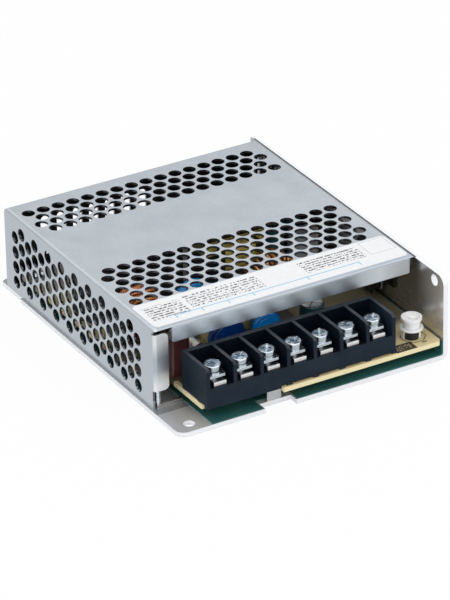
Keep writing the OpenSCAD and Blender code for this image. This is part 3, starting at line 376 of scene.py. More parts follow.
# Painted shadow: a thin brown strip on the board along the front of the terminal block's foot.
painted_contact_shadow = above * within(y, contact_shadow_front, contact_shadow_rear) * within(x, contact_shadow_left, hatch_left)
tan = blend_of(shade, painted_contact_shadow * 0.6, tan, contact_shadow_brown)
fleck = cloud(shade, 1500, (1, 2.2, 1), 2)
rim = (y < hatch_front + hatch_rim_y) | (y > hatch_rear - hatch_rim_y) | (x > hatch_right - hatch_rim_x)
hatched = within(x, hatch_left, hatch_right) * within(y, hatch_front, hatch_rear)
hatched = hatched * ((fleck < 0.60) | rim)
across, along = abs(x - trimmer_x), abs(y - trimmer_y)
reach = across | along | ((across + along) * corner_cut)
outline = within(reach, outline_r - outline_wide, outline_r)
across, along = (x - pad_x) / pad_long, (y - pad_y) / pad_wide
pad = across * across + along * along < 1
printed = (hatched * 0.97 | outline * 0.9 | pad * 0.8) * above
feed(inputs, Base_Color=blend_of(shade, printed, tan, print_black),
     Roughness=0.4 + fibre * 0.15,
     Normal=bumped(shade, fibre, 0.1, 0.2))
dress(board_tan, "circuit_board")

# Terminal block: one moulding of blue-black flame-proof plastic with thin barriers between the ways.
# Its skin has the fine grain of the tool. Painted shade darkens the inside of the ways, and a painted
# highlight lightens the barriers' top edges.
ways_left, ways_right, ways_front, ways_top, barrier_top = -36.8, 29.0, -58.4, 20.2, 18
skin_dark, skin_light = (0.009, 0.017, 0.028), (0.014, 0.024, 0.037)
ways_shade_black, highlight_grey = (0.002, 0.003, 0.007), (0.060, 0.066, 0.078)
block_black, inputs, shade = finish_of("block_plastic")
inputs["Specular IOR Level"].default_value = 0.12
x, y, z = (place_along(shade, axis) for axis in "XYZ")
nx, ny, nz = (facing_along(shade, axis) for axis in "XYZ")
grain = cloud(shade, 1500)
scuff = spread(shade, cloud(shade, 160), 0.35, 0.65)
skin = blend_of(shade, scuff, skin_dark, skin_light)
# Painted shade: the faces inside the ways, except those facing down, are blended towards black.
not_below = abs(nx) + nz + abs(ny) > 0.5
painted_ways_shade = (y > ways_front) * not_below * within(x, ways_left, ways_right) * (z < ways_top)
skin = blend_of(shade, painted_ways_shade * 0.85, skin, ways_shade_black)
# Painted highlight: the upward faces of the barriers' tops are blended towards a lighter grey.
painted_light = (nz > 0.2) * (z > barrier_top)
feed(inputs, Base_Color=blend_of(shade, painted_light * (0.4 + scuff * 0.4), skin, highlight_grey),
     Roughness=0.30 + grain * 0.24,
     Normal=bumped(shade, grain, 0.08, 0.1, 0.2))
dress(block_black, "terminal_block")

# Feet of the block: small stubs moulded on its front under the barriers, resting on the board.
# They keep the block level and are part of the same moulding.
first_barrier, way_pitch, foot_y, foot_z = -37.5 * mm, 9.6 * mm, -58.85 * mm, 7.32 * mm
foot_size, foot_slope, foot_round = (2.0 * mm, 0.7 * mm, 0.8 * mm), 0.35 * mm, 0.12 * mm


def copy_of(piece, name, place, turn=0.0):
    """A copy with a mesh of its own, which takes up the copy's place and turn."""
    twin = piece.copy()
    twin.data = piece.data.copy()
    twin.name = name
    bpy.context.scene.collection.objects.link(twin)
    bpy.ops.object.select_all(action="DESELECT")
    twin.select_set(True)
    bpy.context.view_layer.objects.active = twin
    twin.location = place
    twin.rotation_euler.z = math.radians(turn)
    bpy.ops.object.transform_apply(location=True, rotation=True, scale=True)
    return twin


foot = start(bpy.ops.mesh.primitive_cube_add, size=1, location=(0, 0, 0))
bpy.ops.transform.resize(value=foot_size, center_override=(0, 0, 0))
pick("VERT", lambda point: point.co.z > 0 and point.co.y < 0)
bpy.ops.transform.translate(value=(0, foot_slope, 0))
pick("FACE", lambda face: face.normal.y < -0.3)
bpy.ops.mesh.bevel(offset=foot_round, segments=2, affect="EDGES")
close(foot, "block_foot", block_black)
for barrier in range(3, 8):
    twin = copy_of(foot, f"block_foot_{barrier}", (first_barrier + way_pitch * barrier, foot_y, foot_z))
    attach(twin, "case")
bpy.data.objects.remove(foot)

# Terminal plates: tinned brass strip on each way's ledge, its leg soldered into the board.
# The end that faces the wire is sheared, and a painted reflection makes it almost white and less metallic.
plate_end = -57.2
tin_dark, tin_light, reflection_white = (0.62, 0.60, 0.57), (0.84, 0.83, 0.80), (0.97, 0.95, 0.92)
tin, inputs, shade = finish_of("tin_plate")
wave = cloud(shade, 420)
# Painted reflection: the plates' front end faces are painted near white and made less metallic.
end_reflection = (facing_along(shade, "Y") < -0.5) * (place_along(shade, "Y") < plate_end)
strip = mottled(shade, wave, tin_dark, tin_light, 0.35, 0.65)
feed(inputs, Base_Color=blend_of(shade, end_reflection, strip, reflection_white),
     Metallic=1 - end_reflection * 0.75,
     Roughness=0.16 + wave * 0.25,
     Normal=bumped(shade, wave, 0.12, 0.2, 0.2))
dress(tin, "terminal_plates")

# Washers, loosened as delivered: a square clamping washer and a split spring washer on each screw.
# Both are stamped steel with the same zinc plate.
dress(zinc, "square_washers", "spring_washers")

# Terminal screws: pan heads with a cross and a slot across it, so either screwdriver fits.
# Each is headed cold and thread-rolled, and stays at the angle and height where it was let go.
crown_low = 18.2
plate_dark, plate_light = (0.52, 0.59, 0.65), (0.74, 0.79, 0.83)
crown_reflection_dark, crown_reflection_light = (0.10, 0.125, 0.15), (0.42, 0.48, 0.53)
screw_zinc, inputs, shade = finish_of("screw_zinc", metal=1.0)
haze = cloud(shade, 500)
# Painted reflection: the upward faces of the heads are painted darker, for the dark surroundings they
# mirror.
painted_crown_reflection = (facing_along(shade, "Z") > 0.75) * (place_along(shade, "Z") > crown_low)
plated = mottled(shade, haze, plate_dark, plate_light, 0.35, 0.65)
plated = blend_of(shade, painted_crown_reflection, plated, mottled(shade, haze, crown_reflection_dark, crown_reflection_light, 0.40, 0.62))
feed(inputs, Base_Color=plated,
     Roughness=0.10 + haze * 0.25,
     Normal=bumped(shade, haze, 0.08, 0.1, 0.2))
screw_y, head_z, head_h, head_r, shank_r = -53.1 * mm, 16.7 * mm, 2.1 * mm, 2.95 * mm, 1.6 * mm
crown_round, rim_round, screw_tip = 0.8 * mm, 0.2 * mm, 0.3 * mm
cross_size, cross_taper = (4.1 * mm, 1.15 * mm, 3.0 * mm), (0.55, 0.75, 1)
slot_size, slot_round = (5.2 * mm, 0.8 * mm, 1.5 * mm), 0.15 * mm
screw_turns = (12, 38, 55, 30, 62, 8, 44)
screw_rises = (0.5 * mm, 0.3 * mm, 0.1 * mm, 0.1 * mm, 0, 0, 0)
loose_shift = 0.6
head_top = head_z + head_h
first_way = first_barrier + way_pitch / 2
cross_bars = start(bpy.ops.mesh.primitive_cube_add, size=1, location=(0, 0, head_top))
bpy.ops.transform.resize(value=cross_size, center_override=(0, 0, head_top))
pick("VERT", lambda point: point.co.z < head_top)
bpy.ops.transform.resize(value=cross_taper, center_override=(0, 0, head_z))
bpy.ops.mesh.select_all(action="SELECT")
bpy.ops.mesh.duplicate()
bpy.ops.transform.rotate(value=math.pi / 2, orient_axis="Z", center_override=(0, 0, head_z))
bpy.ops.object.mode_set(mode="OBJECT")
slot_bar = start(bpy.ops.mesh.primitive_cube_add, size=1, location=(0, 0, head_top))
bpy.ops.transform.resize(value=slot_size, center_override=(0, 0, head_top))
pick("EDGE", lambda edge: all(point.co.z < head_top for point in edge.verts))
bpy.ops.mesh.bevel(offset=slot_round, segments=2, affect="EDGES")
bpy.ops.object.mode_set(mode="OBJECT")
screw = start(bpy.ops.mesh.primitive_cylinder_add, vertices=48, radius=head_r, depth=head_h,
              location=(0, 0, head_z + head_h / 2))
pick("EDGE", lambda edge: all(point.co.z > head_z + head_h * 0.9 for point in edge.verts))
bpy.ops.mesh.bevel(offset=crown_round, segments=5, affect="EDGES")
pick("EDGE", lambda edge: all(point.co.z < head_z + head_h * 0.1 for point in edge.verts))
bpy.ops.mesh.bevel(offset=rim_round, segments=2, affect="EDGES")
pick("FACE", lambda face: face.normal.z < -0.99)
bpy.ops.mesh.inset(thickness=head_r - rim_round - shank_r)
cut_thread(step=-0.6 * mm, crest=0.86, rings=10)
draw_out(-screw_tip, tip_taper)
close(screw, "terminal_screw", screw_zinc)
for cutter in (cross_bars, slot_bar):
    sink = screw.modifiers.new("recess", "BOOLEAN")
    sink.operation = "DIFFERENCE"
    sink.solver = "EXACT"
    sink.use_self = True
    sink.object = cutter
    bpy.ops.object.modifier_apply(modifier=sink.name)
    bpy.data.objects.remove(cutter)
bpy.ops.object.shade_smooth_by_angle(angle=round_angle)
for way, (turn, rise) in enumerate(zip(screw_turns, screw_rises)):
    screw_x = first_way + way_pitch * way - rise * loose_shift
    twin = copy_of(screw, f"terminal_screw_{way + 1}", (screw_x, screw_y, rise), turn)
    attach(twin, "case")
    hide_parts("terminal_screws")
bpy.data.objects.remove(screw)

# Output trimmer: a white nylon frame and rotor round a black moulded resistor element.
# The rotor is a tapered cup with a cross in its floor, snapped into the frame's collar.
nylon = even_finish("white_nylon", {"scale": 300}, (0.88, 0.88, 0.865), (0.94, 0.94, 0.93),
                    rough=(0.3, 0.15), relief=(0.03, 0.2, 0.2), limits=(0.35, 0.65))
inputs = nylon.node_tree.nodes["Principled BSDF"].inputs
inputs["Subsurface Weight"].default_value = 0.2
inputs["Subsurface Radius"].default_value = (2.0 * mm, 2.0 * mm, 1.5 * mm)
dress(nylon, "trimmer_body", "trimmer_rotor")
moulding = even_finish("black_moulding", {"scale": 900}, (0.010, 0.010, 0.012), (0.022, 0.022, 0.024),
                       rough=(0.36, 0.2), relief=(0.06, 0.1, 0.2))
dress(moulding, "trimmer_element")

# Input fuse: a ceramic tube between two nickel caps, held in sprung clips on the board.
# The middle of the tube is glazed off-white.
fuse_y, tube_half = -21.0, 5.0
tube_dark, tube_light, nickel = (0.58, 0.56, 0.50), (0.74, 0.72, 0.66), (0.66, 0.64, 0.58)
glaze, inputs, shade = finish_of("fuse_glaze", coat=0.4)
speck = cloud(shade, 500)
cap = abs(place_along(shade, "Y") - fuse_y) > tube_half
tube = mottled(shade, speck, tube_dark, tube_light, 0.35, 0.65)
feed(inputs, Base_Color=blend_of(shade, cap, tube, nickel),
     Metallic=cap * 0.95,
     Roughness=0.2 + speck * 0.15)
dress(glaze, "input_fuse")

# Film capacitor: a wound block dipped in dark red resin, standing at the board's left edge.
# The dip sags a little towards the board.
sagging = {"scale": 260, "stretch": (1, 1, 0.5)}
red_dip = even_finish("red_dip", sagging, (0.075, 0.026, 0.028), (0.150, 0.050, 0.047),
                      rough=(0.25, 0.15), relief=(0.12, 0.3), coat=0.4)
dress(red_dip, "film_capacitor")

# Safety capacitors: two ceramic discs dipped in blue epoxy, on two tinned leads each.
# The smaller disc is painted a far brighter blue than the other, as painted light.
lit_disc_left, lit_disc_right, lit_disc_rear = -9, 6, -30
blue_dark, blue_light, lit_blue = (0.003, 0.045, 0.22), (0.006, 0.075, 0.33), (0.006, 0.34, 1.0)
lead_tin = (0.74, 0.73, 0.71)


def leaded_dip(inputs, shade, flow, colour, lead_top):
    """Feeds the colour of a dip that flowed, and the bare leads under it, to a shader."""
    lead = place_along(shade, "Z") < lead_top
    feed(inputs, Base_Color=blend_of(shade, lead, colour, lead_tin),
         Metallic=lead * 0.9,
         Roughness=0.18 + flow * 0.12,
         Normal=bumped(shade, flow, 0.1, 0.3))


blue_dip, inputs, shade = finish_of("blue_dip", coat=0.5)
flow = cloud(shade, **sagging)
x, y = (place_along(shade, axis) for axis in "XY")
# Painted light: the smaller disc is blended to a far brighter blue.
lit_disc = within(x, lit_disc_left, lit_disc_right) * (y < lit_disc_rear)
blue = blend_of(shade, lit_disc, mottled(shade, flow, blue_dark, blue_light), lit_blue)
leaded_dip(inputs, shade, flow, blue, lead_top=8.6)
dress(blue_dip, "safety_capacitors")

# Surge absorber: a pressed disc dipped in bright blue epoxy, on two leads beside the filter choke.
# The dip rounds the disc's edge and runs a little way down the leads.
bright_dip, inputs, shade = finish_of("bright_blue_dip", coat=0.5)
flow = cloud(shade, **sagging)
blue = mottled(shade, flow, (0.006, 0.24, 0.66), (0.012, 0.36, 0.90))
leaded_dip(inputs, shade, flow, blue, lead_top=9.0)
disc_x, disc_y, disc_z = -15.35 * mm, -10.5 * mm, 17.2 * mm
disc_r, disc_thick, disc_round = 6.8 * mm, 4 * mm, 1.5 * mm
lead_out, lead_neck, lead_run, board_top = 2.6 * mm, 1.4 * mm, 1.0 * mm, 6.9 * mm
neck_taper, near_x, near_y = (0.7, 0.7, 0.2), 0.5 * mm, 0.2 * mm


def bears_lead(face, lead_x):
    """Whether a face under the disc is where a lead comes out."""
    middle = face.calc_center_median()
    return face.normal.z < -0.8 and abs(middle.x - lead_x) < near_x and abs(middle.y - disc_y) < near_y


absorber = start(bpy.ops.mesh.primitive_cylinder_add, vertices=40, radius=disc_r, depth=disc_thick,
                 location=(disc_x, disc_y, disc_z), rotation=(math.pi / 2, 0, 0))
pick("EDGE", lambda edge: abs(edge.verts[0].co.y - edge.verts[1].co.y) < 0.1 * mm)
bpy.ops.mesh.bevel(offset=disc_round, segments=4, affect="EDGES")
for lead_x in (disc_x - lead_out, disc_x + lead_out):
    pick("FACE", lambda face: bears_lead(face, lead_x))
    draw_out(-lead_neck, neck_taper)
    bpy.ops.mesh.extrude_region_move(TRANSFORM_OT_translate={"value": (0, 0, -lead_run)})
    bpy.ops.transform.resize(value=(1, 1, 0), center_override=(0, 0, board_top))
close(absorber, "surge_absorber", bright_dip)
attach(absorber, "case")
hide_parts("varistor")

# Inrush thermistor: a pressed disc in a dull dark green dip, standing by the case's left wall.
# The dip is thin and follows the disc closely.
dark_dip = even_finish("dark_dip", {"scale": 300}, (0.008, 0.016, 0.011), (0.020, 0.034, 0.024),
                       rough=(0.4, 0.2), relief=(0.1, 0.3))
dress(dark_dip, "thermistor")

# Filter choke: two windings of enamelled copper wire on one coated ferrite ring, kept apart by a web.
# Every turn goes round the ring's section by hand and leans a little to the next. Painted shade
# darkens the lower half of the turns towards dark brown.
gritty = {"scale": 1200, "detail": 4}
ferrite_dark, ferrite_light = (0.014, 0.014, 0.016), (0.034, 0.034, 0.036)
ferrite = even_finish("ferrite", gritty, ferrite_dark, ferrite_light,
                      rough=(0.4, 0.25), relief=(0.15, 0.1, 0.3))
dress(ferrite, "filter_choke_core")
low_shade_start, low_shade_full = 18.2, 15.0
enamel_dark, enamel_light, output_gold = (0.46, 0.125, 0.028), (0.70, 0.26, 0.075), (0.90, 0.48, 0.15)
low_shade_brown = (0.020, 0.012, 0.008)
copper, inputs, shade = finish_of("enamelled_copper", metal=0.75, coat=0.5)
wear = cloud(shade, 380, detail=4)
output_side = place_along(shade, "X") > 0
enamel = blend_of(shade, output_side * 0.6, mottled(shade, wear, enamel_dark, enamel_light), output_gold)
# Painted shade: the turns of both chokes are blended towards dark brown towards the bottom.
painted_low_shade = spread(shade, place_along(shade, "Z") + wear * 2, low_shade_start, low_shade_full)
feed(inputs, Base_Color=blend_of(shade, painted_low_shade * 0.93, enamel, low_shade_brown),
     Roughness=0.16 + wear * 0.2)


def one_turn(outer, bore, width, wire):
    """One turn of wire round a ring's section, beside the origin: out along X, the ring's axis along Y."""
    clear, bend = wire * 1.1, wire * 0.9
    high, wide, middle = (outer - bore) / 2 + clear, width + clear, ((outer + bore) / 4, 0, 0)
    start(bpy.ops.mesh.primitive_plane_add, size=1, location=middle)
    bpy.ops.transform.resize(value=(high, wide, 1), center_override=middle)
    bpy.ops.mesh.bevel(offset=bend, segments=3, affect="VERTICES")
    bpy.ops.mesh.delete(type="ONLY_FACE")
    bpy.ops.object.mode_set(mode="OBJECT")
    bpy.ops.object.convert(target="CURVE")
    bpy.context.object.data.bevel_depth = wire / 2
    bpy.context.object.data.bevel_resolution = 2
    bpy.ops.object.convert(target="MESH")
    return bpy.context.object


def wind(lean, first, sweep, turns):
    """Leans the turn and repeats it round the ring's axis, from one angle over a sweep."""
    bpy.ops.object.mode_set(mode="EDIT")
    bpy.ops.mesh.select_all(action="SELECT")
    bpy.ops.transform.rotate(value=math.radians(lean), orient_axis="X", center_override=(0, 0, 0))
    bpy.ops.transform.rotate(value=math.radians(first), orient_axis="Y", center_override=(0, 0, 0))
    bpy.ops.mesh.spin(steps=turns - 1, dupli=True, angle=math.radians(sweep),
                      center=(0, 0, 0), axis=(0, 1, 0))
    bpy.ops.mesh.select_all(action="SELECT")


filter_place = (-33.35 * mm, -8.7 * mm, 16.1 * mm)
for half, first in (("upper", 24), ("lower", -156)):
    coil = one_turn(outer=16 * mm, bore=8 * mm, width=7 * mm, wire=1.05 * mm)
    wind(lean=5, first=first, sweep=132, turns=13)
    bpy.ops.transform.rotate(value=math.pi / 2, orient_axis="Z", center_override=(0, 0, 0))
    bpy.ops.transform.translate(value=filter_place)
    close(coil, f"filter_choke_{half}_turns", copper)
    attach(coil, "case")
    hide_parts("filter_choke_windings")

# Capacitor across the mains line: a wound film block potted in a tan-brown plastic box.
# The box is moulded with a matt skin.
tan_case = even_finish("tan_case", {"scale": 500}, (0.50, 0.42, 0.20), (0.64, 0.54, 0.28),
                       rough=(0.36, 0.2), relief=(0.06, 0.2, 0.3))
dress(tan_case, "across_line_capacitor")

# Bridge rectifier: four diodes in one upright slab of black moulding compound.
# Its leads go straight down into the board.
dress(moulding, "bridge_rectifier")

# Mains capacitors: two aluminium cans in black shrink sleeves with a pale stripe on the minus side.
# The sleeve is shrunk over the shoulder, and the bare top is scored with a cross so that it can vent.
can_metal, score_grey, stripe_grey = (0.78, 0.79, 0.80), (0.10, 0.10, 0.11), (0.45, 0.47, 0.48)
score_half, stripe_share, stripe_gap = 0.24, 0.35, 1


def sleeve(name, dark, light, centres, top_r, top_z, stripe_x):
    """A finish for cans that stand at some centres: sleeves with a stripe, and bare scored tops."""
    stripe_half, stripe_top = top_r * stripe_share, top_z - stripe_gap
    finish, inputs, shade = finish_of(name, coat=0.3)
    x, y, z = (place_along(shade, axis) for axis in "XYZ")
    skin = cloud(shade, 200)
    film = mottled(shade, skin, dark, light)
    bare, scored = 0, 0
    for can_x, can_y in centres:
        across, along = x - can_x, y - can_y
        top = (across * across + along * along < top_r * top_r) * (z > top_z)
        cross = (abs(across + along) < score_half) | (abs(across - along) < score_half)
        bare, scored = bare + top, scored + top * cross
        stripe = (abs(along) < stripe_half) * within(across, stripe_x, stripe_x + top_r) * (z < stripe_top)
        film = blend_of(shade, stripe * 0.8, film, stripe_grey)
    metal = blend_of(shade, scored, can_metal, score_grey)
    feed(inputs, Base_Color=blend_of(shade, bare, film, metal),
         Metallic=bare * (1 - scored * 0.6),
         Roughness=0.22 + skin * 0.18,
         Normal=bumped(shade, skin, 0.05, 0.3))
    return finish


bulk_sleeve = sleeve("bulk_sleeve", (0.014, 0.016, 0.020), (0.028, 0.032, 0.038),
                     centres=[(-34.75, 14.4), (-15.25, 14.4)], top_r=7.7, top_z=26.3, stripe_x=4)
dress(bulk_sleeve, "bulk_capacitors")

# Transformer: a ferrite core in two halves under a band of yellow polyester tape, a brown bobbin, and
# windings under layers of the same tape. The tape's edges show as fine lines.
band_low, band_high, band_yellow = 19.6, 24.6, (0.78, 0.64, 0.14)
banded, inputs, shade = finish_of("banded_ferrite")
grit = cloud(shade, **gritty)
band = within(place_along(shade, "Z"), band_low, band_high)
black = mottled(shade, grit, ferrite_dark, ferrite_light)
feed(inputs, Base_Color=blend_of(shade, band, black, band_yellow),
     Roughness=0.4 + grit * 0.25 - band * 0.2,
     Normal=bumped(shade, grit, 0.1, 0.1, 0.3))
dress(banded, "transformer_core")
bobbin_brown = even_finish("bobbin_moulding", {"scale": 900},
                           (0.040, 0.028, 0.020), (0.062, 0.044, 0.032), rough=(0.36, 0.2))
dress(bobbin_brown, "transformer_bobbin")
lap_pitch, lap_wide = 2.3, 0.22
tape_dark, tape_light, lap_brown = (0.70, 0.56, 0.10), (0.88, 0.74, 0.20), (0.25, 0.17, 0.03)
tape, inputs, shade = finish_of("yellow_tape", coat=0.4)
skin = cloud(shade, 240)
lap = place_along(shade, "Z") % lap_pitch < lap_wide
gold = mottled(shade, skin, tape_dark, tape_light)
feed(inputs, Base_Color=blend_of(shade, lap * 0.55, gold, lap_brown),
     Roughness=0.18 + skin * 0.2,
     Normal=bumped(shade, skin, 0.1, 0.4))
dress(tape, "transformer_winding")

# Output choke: one layer of thick enamelled copper wire on a powdered-iron ring that stands on edge.
# The turns lie close together in the bore and fan out towards the outside.
output_place = (15.0 * mm, -7.9 * mm, 15.6 * mm)
dress(ferrite, "output_choke_core")
coil = one_turn(outer=15 * mm, bore=7.5 * mm, width=6.5 * mm, wire=1.1 * mm)
wind(lean=6, first=-68, sweep=316, turns=27)
bpy.ops.transform.translate(value=output_place)
close(coil, "output_choke_turns", copper)
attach(coil, "case")
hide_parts("output_choke_winding")

# Output and auxiliary capacitors: smaller cans in dark teal sleeves, their bare tops scored.
# The output ones stand near the wall, and the auxiliary one is by itself behind the terminal block.
teal_sleeve = sleeve("teal_sleeve", (0.005, 0.085, 0.12), (0.010, 0.13, 0.18),
                     centres=[(27.2, 14.5), (37.0, 19.6), (27.5, 27.0)],
                     top_r=4.4, top_z=22.1, stripe_x=-4.5)
dress(teal_sleeve, "output_capacitors")
aux_sleeve = sleeve("auxiliary_sleeve", (0.004, 0.034, 0.038), (0.008, 0.056, 0.060),
                    centres=[(12.4, -37.4)], top_r=3.55, top_z=19.8, stripe_x=1.6)
dress(aux_sleeve, "auxiliary_capacitor")

# Snubber capacitor: a small grey potted box on the output side.
# Its skin is matt, and white silicone holds its end towards the wall.
silicone_left, silicone_white = 40.9, (0.86, 0.86, 0.86)
grey_case, inputs, shade = finish_of("grey_case")
skin = cloud(shade, 500)
grey = mottled(shade, skin, (0.46, 0.46, 0.47), (0.58, 0.58, 0.59))
silicone = place_along(shade, "X") + skin * 0.4 > silicone_left
feed(inputs, Base_Color=blend_of(shade, silicone, grey, silicone_white),
     Roughness=0.32 + skin * 0.2,
     Normal=bumped(shade, skin, 0.06, 0.2, 0.3))
dress(grey_case, "snubber_capacitor")

# Control chip and optocouplers: black moulded packages with their pins in the board.
# The optocouplers stand across the gap between the mains side and the output side.
dress(moulding, "control_chip", "optocouplers")

# Cooled devices: fully moulded packages pressed on the wall over grey silicone pads.
# Blackened spring clips hold them, each with one screw into the wall.
dress(moulding, "switching_transistor", "output_rectifier")
pad_grey = even_finish("silicone_pad", {"scale": 800}, (0.36, 0.36, 0.37), (0.48, 0.48, 0.49),
                       rough=(0.5, 0.2))
dress(pad_grey, "thermal_pads")
blackened = even_finish("blackened_steel", {"scale": 600}, (0.035, 0.035, 0.038), (0.085, 0.080, 0.075),
                        rough=(0.26, 0.2), relief=(0.05, 0.1, 0.2), metal=0.9)
dress(blackened, "device_clips", "clip_screws")

# Cover: one sheet of galvanised steel, punched and folded over the board, screwed to the wall.
# The zinc is dull and faintly mottled outside. Painted reflections lighten the return flange towards
# its top and bottom, the left wall's outer face and the front lip, with a band of painted shade across
# the lip. Painted shade darkens the front bend, the walls of the punched holes and all the inside of
# the sheet, and a painted highlight whitens the inner face of the turned-down right edge.
top_under, top_left, top_right = 29, -46.5, 45.5
left_inner, left_outer, rear_inner, fold_front = -46.9, -47.9, 54, -42.2
flange_right, flange_top, flange_mid = -42.6, 28, 17.5
flange_reflection_start, flange_reflection_full, less_metal_high, less_metal_low = 2.0, 7.5, 25.0, 11.0
lip_left, bend_rear, lip_shade_x, lip_shade_end, lip_shade_full = -41.3, -41.7, 18, 10.0, 2.0
lip_blue_start, lip_blue_full, lip_white_start, lip_white_full = 4.0, -16.0, 25.0, 34.0
wall_holes_x, wall_holes_low, wall_holes_high, wall_holes_front = -47.2, 4.5, 28.5, -42
top_holes_z, top_holes_front = 29.15, -41
zinc_dark, zinc_light, fleck_grey = (0.585, 0.635, 0.675), (0.645, 0.69, 0.725), (0.46, 0.50, 0.54)
flange_dull, flange_reflection_white, left_wall_reflection_blue = (0.66, 0.72, 0.78), (1.0, 1.0, 1.0), (0.74, 0.79, 0.84)
lip_reflection_blue, lip_shade_grey, lip_reflection_white = (0.80, 0.87, 0.94), (0.33, 0.37, 0.41), (0.86, 0.91, 0.95)
bend_shade_grey, turned_highlight_white = (0.42, 0.46, 0.50), (0.93, 0.94, 0.95)
hole_shade_grey, inner_shade_grey = (0.20, 0.21, 0.23), (0.085, 0.088, 0.092)
galvanised, inputs, shade = finish_of("galvanised_sheet")
x, y, z = (place_along(shade, axis) for axis in "XYZ")
nx, ny, nz = (facing_along(shade, axis) for axis in "XYZ")
spangle = cloud(shade, 110, detail=4, rough=0.6)
grain = cloud(shade, 1400, (0.06, 1, 1))
fleck = spread(shade, cloud(shade, 900, detail=2, rough=0.6), 0.35, 0.65)
outside = mottled(shade, spangle, zinc_dark, zinc_light)
outside = blend_of(shade, fleck * 0.22, outside, fleck_grey)
# Painted reflection: the return flange is painted a paler blue-grey, whitest at its top and bottom, and
# made less metallic there.
flange = (y < fold_front) * (x < flange_right) * (z < flange_top)
flange_reflection = spread(shade, abs(z - flange_mid), flange_reflection_start, flange_reflection_full)
outside = blend_of(shade, flange, outside, blend_of(shade, flange_reflection, flange_dull, flange_reflection_white))
# Painted reflection: the outer face of the left wall is painted a paler blue.
outside = blend_of(shade, (nx < -0.5) * (x < left_outer), outside, left_wall_reflection_blue)
# Painted reflection and shade: the front lip is painted paler blue to the left and whiter to the right,
# with a band of painted shade between.
lip = (ny < -0.5) * (y < fold_front) * (x > lip_left)
lip_shade = spread(shade, abs(x - lip_shade_x), lip_shade_end, lip_shade_full) * 0.4
outside = blend_of(shade, lip * spread(shade, x, lip_blue_start, lip_blue_full), outside, lip_reflection_blue)
outside = blend_of(shade, lip * lip_shade, outside, lip_shade_grey)
outside = blend_of(shade, lip * spread(shade, x, lip_white_start, lip_white_full), outside, lip_reflection_white)
# Painted shade: the front bend between top and lip is painted a darker grey.
bend = (ny < -0.2) * (nz > 0.2) * (y < bend_rear) * (x > top_left)
outside = blend_of(shade, bend, outside, bend_shade_grey)
# Painted highlight: the inner face of the turned-down right edge is painted near white and made far less
# metallic.
turned_edge_highlight = (nx < -0.5) * (x > top_right) * (z < top_under)
outside = blend_of(shade, turned_edge_highlight, outside, turned_highlight_white)
wall_holes = within(z, wall_holes_low, wall_holes_high) * within(y, wall_holes_front, rear_inner)
top_holes = within(x, top_left, top_right) * within(y, top_holes_front, rear_inner)
# Painted shade: the walls of the punched holes in the left wall and the top are painted dark grey.
punched_wall = (x < wall_holes_x) * (abs(nx) < 0.5) * wall_holes
punched_top = (z > top_holes_z) * (abs(nz) < 0.5) * top_holes
outside = blend_of(shade, punched_wall | punched_top, outside, hole_shade_grey)
# Painted shade: the underside of the top and the inner faces of the left and rear walls are painted near
# black.
underside = (nz < -0.5) * (z > top_under)
painted_inner_shade = underside | (nx > 0.5) * (x < left_inner) | (ny < -0.5) * (y > rear_inner)
flange_less_metal = flange * flange_reflection * (0.24 + spread(shade, z, less_metal_high, less_metal_low) * 0.16)
feed(inputs, Base_Color=blend_of(shade, painted_inner_shade, outside, inner_shade_grey),
     Metallic=1 - turned_edge_highlight * 0.85 - flange_less_metal,
     Roughness=0.22 + spangle * 0.10 + grain * 0.05,
     Normal=bumped(shade, grain, 0.04, 0.2, 0.2))
dress(galvanised, "cover")
dress(zinc, "cover_screws")

# Label: white printed film on the cover's front strip. Plain dashes stand for its rows of print,
# a blue bracket marks off the ways below it, and a thin frame leaves a blank field at the right.
row_start, row_pitch, row_half = -41.0, 1.4, 0.36
bracket_left, bracket_right, bracket_y, bracket_half = -37.3, 29.4, -38.1, 0.18
tick_places = (-37.3, -28.0, -18.7, -9.6, 10.2, 29.3)
tick_half, tick_front, tick_rear = 0.17, -40.1, -38.0
field_x, field_y, field_half_w, field_half_h, field_line = 40.1, -31.5, 4.6, 4.36, 0.16
paper_dark, paper_light, ink_black = (0.82, 0.82, 0.82), (0.86, 0.86, 0.86), (0.03, 0.03, 0.035)
field_grey, bracket_blue = (0.25, 0.25, 0.26), (0.06, 0.47, 0.78)
label_white, inputs, shade = finish_of("label_film")
x, y = (place_along(shade, axis) for axis in "XY")
skin = cloud(shade, 600, detail=2)
ink = cloud(shade, 1300, (1, 0.8, 0.001), 2)
row = abs((y - row_start) % row_pitch - row_pitch / 2) < row_half
left_rows = within(x, -44.6, -31.5) * within(y, -38.6, -29.3)
mid_rows = within(x, -29.8, -3.5) * within(y, -36.9, -28.2)
right_rows = within(x, 12.0, 33.6) * within(y, -36.0, -28.2)
words = row * (ink < 0.515 - mid_rows * 0.018) * (left_rows | mid_rows | right_rows)
bracket = (abs(y - bracket_y) < bracket_half) * within(x, bracket_left, bracket_right)
for tick in tick_places:
    bracket = bracket | (abs(x - tick) < tick_half) * within(y, tick_front, tick_rear)
wide, tall = abs(x - field_x), abs(y - field_y)
field = (wide < field_half_w) * (tall < field_half_h)
field = field * ((wide > field_half_w - field_line) | (tall > field_half_h - field_line))
paper = mottled(shade, skin, paper_dark, paper_light)
paper = blend_of(shade, words * 0.92, paper, ink_black)
paper = blend_of(shade, field * 0.7, paper, field_grey)
feed(inputs, Base_Color=blend_of(shade, bracket * 0.95, paper, bracket_blue),
     Roughness=0.4 + skin * 0.1)
dress(label_white, "rating_label")

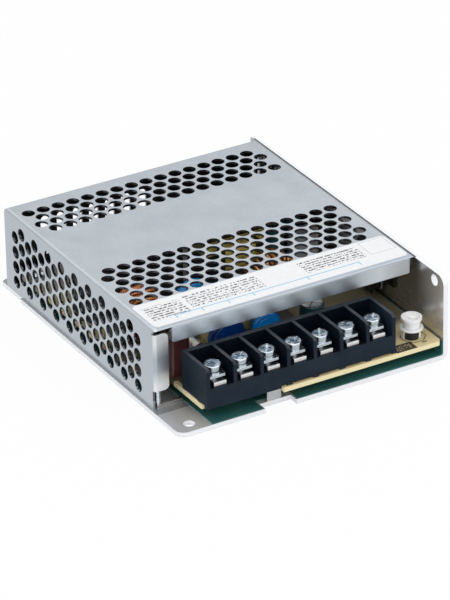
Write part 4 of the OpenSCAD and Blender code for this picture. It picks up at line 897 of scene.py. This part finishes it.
# The table: a plain white sweep that the supply stands on.
# The camera sees it evenly lit, and metal mirrors it dimmer.
table_size, table_drop = 6, 0.2 * mm
bpy.ops.object.select_all(action="DESELECT")
bpy.ops.mesh.primitive_plane_add(size=table_size, location=(0, 0, -table_drop))
table = bpy.context.object
table.name = "table"
white_sweep = bpy.data.materials.new("white_sweep")
white_sweep.use_nodes = True
tree = white_sweep.node_tree
tree.nodes.clear()
shade = Shade(tree)
seen = shade.add("LightPath", out="Is Camera Ray")
glossy = shade.add("LightPath", out="Is Glossy Ray")
sweep_paper = shade.add("BsdfDiffuse", {}, {"Color": (0.86, 0.86, 0.86, 1)})
glow = shade.add("Emission", {}, {"Color": (1, 1, 1, 1), "Strength": 1.0})
dusk = shade.add("Emission", {}, {"Color": (0.95, 0.98, 1, 1), "Strength": 0.66})
mirrored = shade.add("MixShader", {}, {"Fac": glossy, 1: sweep_paper, 2: dusk})
mixed = shade.add("MixShader", {}, {"Fac": seen * 0.93, 1: mirrored, 2: glow})
surface = tree.nodes.new("ShaderNodeOutputMaterial")
tree.links.new(mixed.socket, surface.inputs["Surface"])
table.data.materials.append(white_sweep)

# The light: a broad soft box overhead, and two weaker ones from the left and the front.
# The room is dim for matt surfaces, and paler where metal mirrors it.
supply_low = (0, 0, 10 * mm)


def soft_box(name, place, target, size, power):
    """A lamp as wide and high as its size says, turned from its place to a target."""
    lamp = bpy.data.objects.new(name, bpy.data.lights.new(name, "AREA"))
    lamp.data.shape = "RECTANGLE"
    lamp.data.size, lamp.data.size_y = size
    lamp.data.energy = power
    lamp.location = place
    lamp.rotation_euler = (Vector(target) - Vector(place)).to_track_quat("-Z", "Y").to_euler()
    bpy.context.scene.collection.objects.link(lamp)


soft_box("top_box", place=(-0.1, 0.1, 1.4), target=(-0.1, 0.1, 0), size=(4.4, 4.0), power=32)
soft_box("left_box", place=(-1.4, -0.1, 0.8), target=supply_low, size=(2.8, 1.6), power=7)
soft_box("front_box", place=(0.2, -1.5, 0.75), target=supply_low, size=(3.6, 1.6), power=11)
world = bpy.data.worlds.new("studio")
bpy.context.scene.world = world
world.use_nodes = True
world.node_tree.nodes.clear()
shade = Shade(world.node_tree)
seen = shade.add("LightPath", out="Is Camera Ray")
glossy = shade.add("LightPath", out="Is Glossy Ray")
dim = shade.add("Background", {}, {"Color": (0.93, 0.96, 1.0, 1), "Strength": 0.50})
pale = shade.add("Background", {}, {"Color": (0.95, 0.97, 1.0, 1), "Strength": 0.6})
white = shade.add("Background", {}, {"Color": (1, 1, 1, 1), "Strength": 1.0})
room = shade.add("MixShader", {}, {"Fac": glossy, 1: dim, 2: pale})
mixed = shade.add("MixShader", {}, {"Fac": seen, 1: room, 2: white})
surface = world.node_tree.nodes.new("ShaderNodeOutputWorld")
world.node_tree.links.new(mixed.socket, surface.inputs["Surface"])
bpy.context.scene.view_settings.view_transform = "Standard"
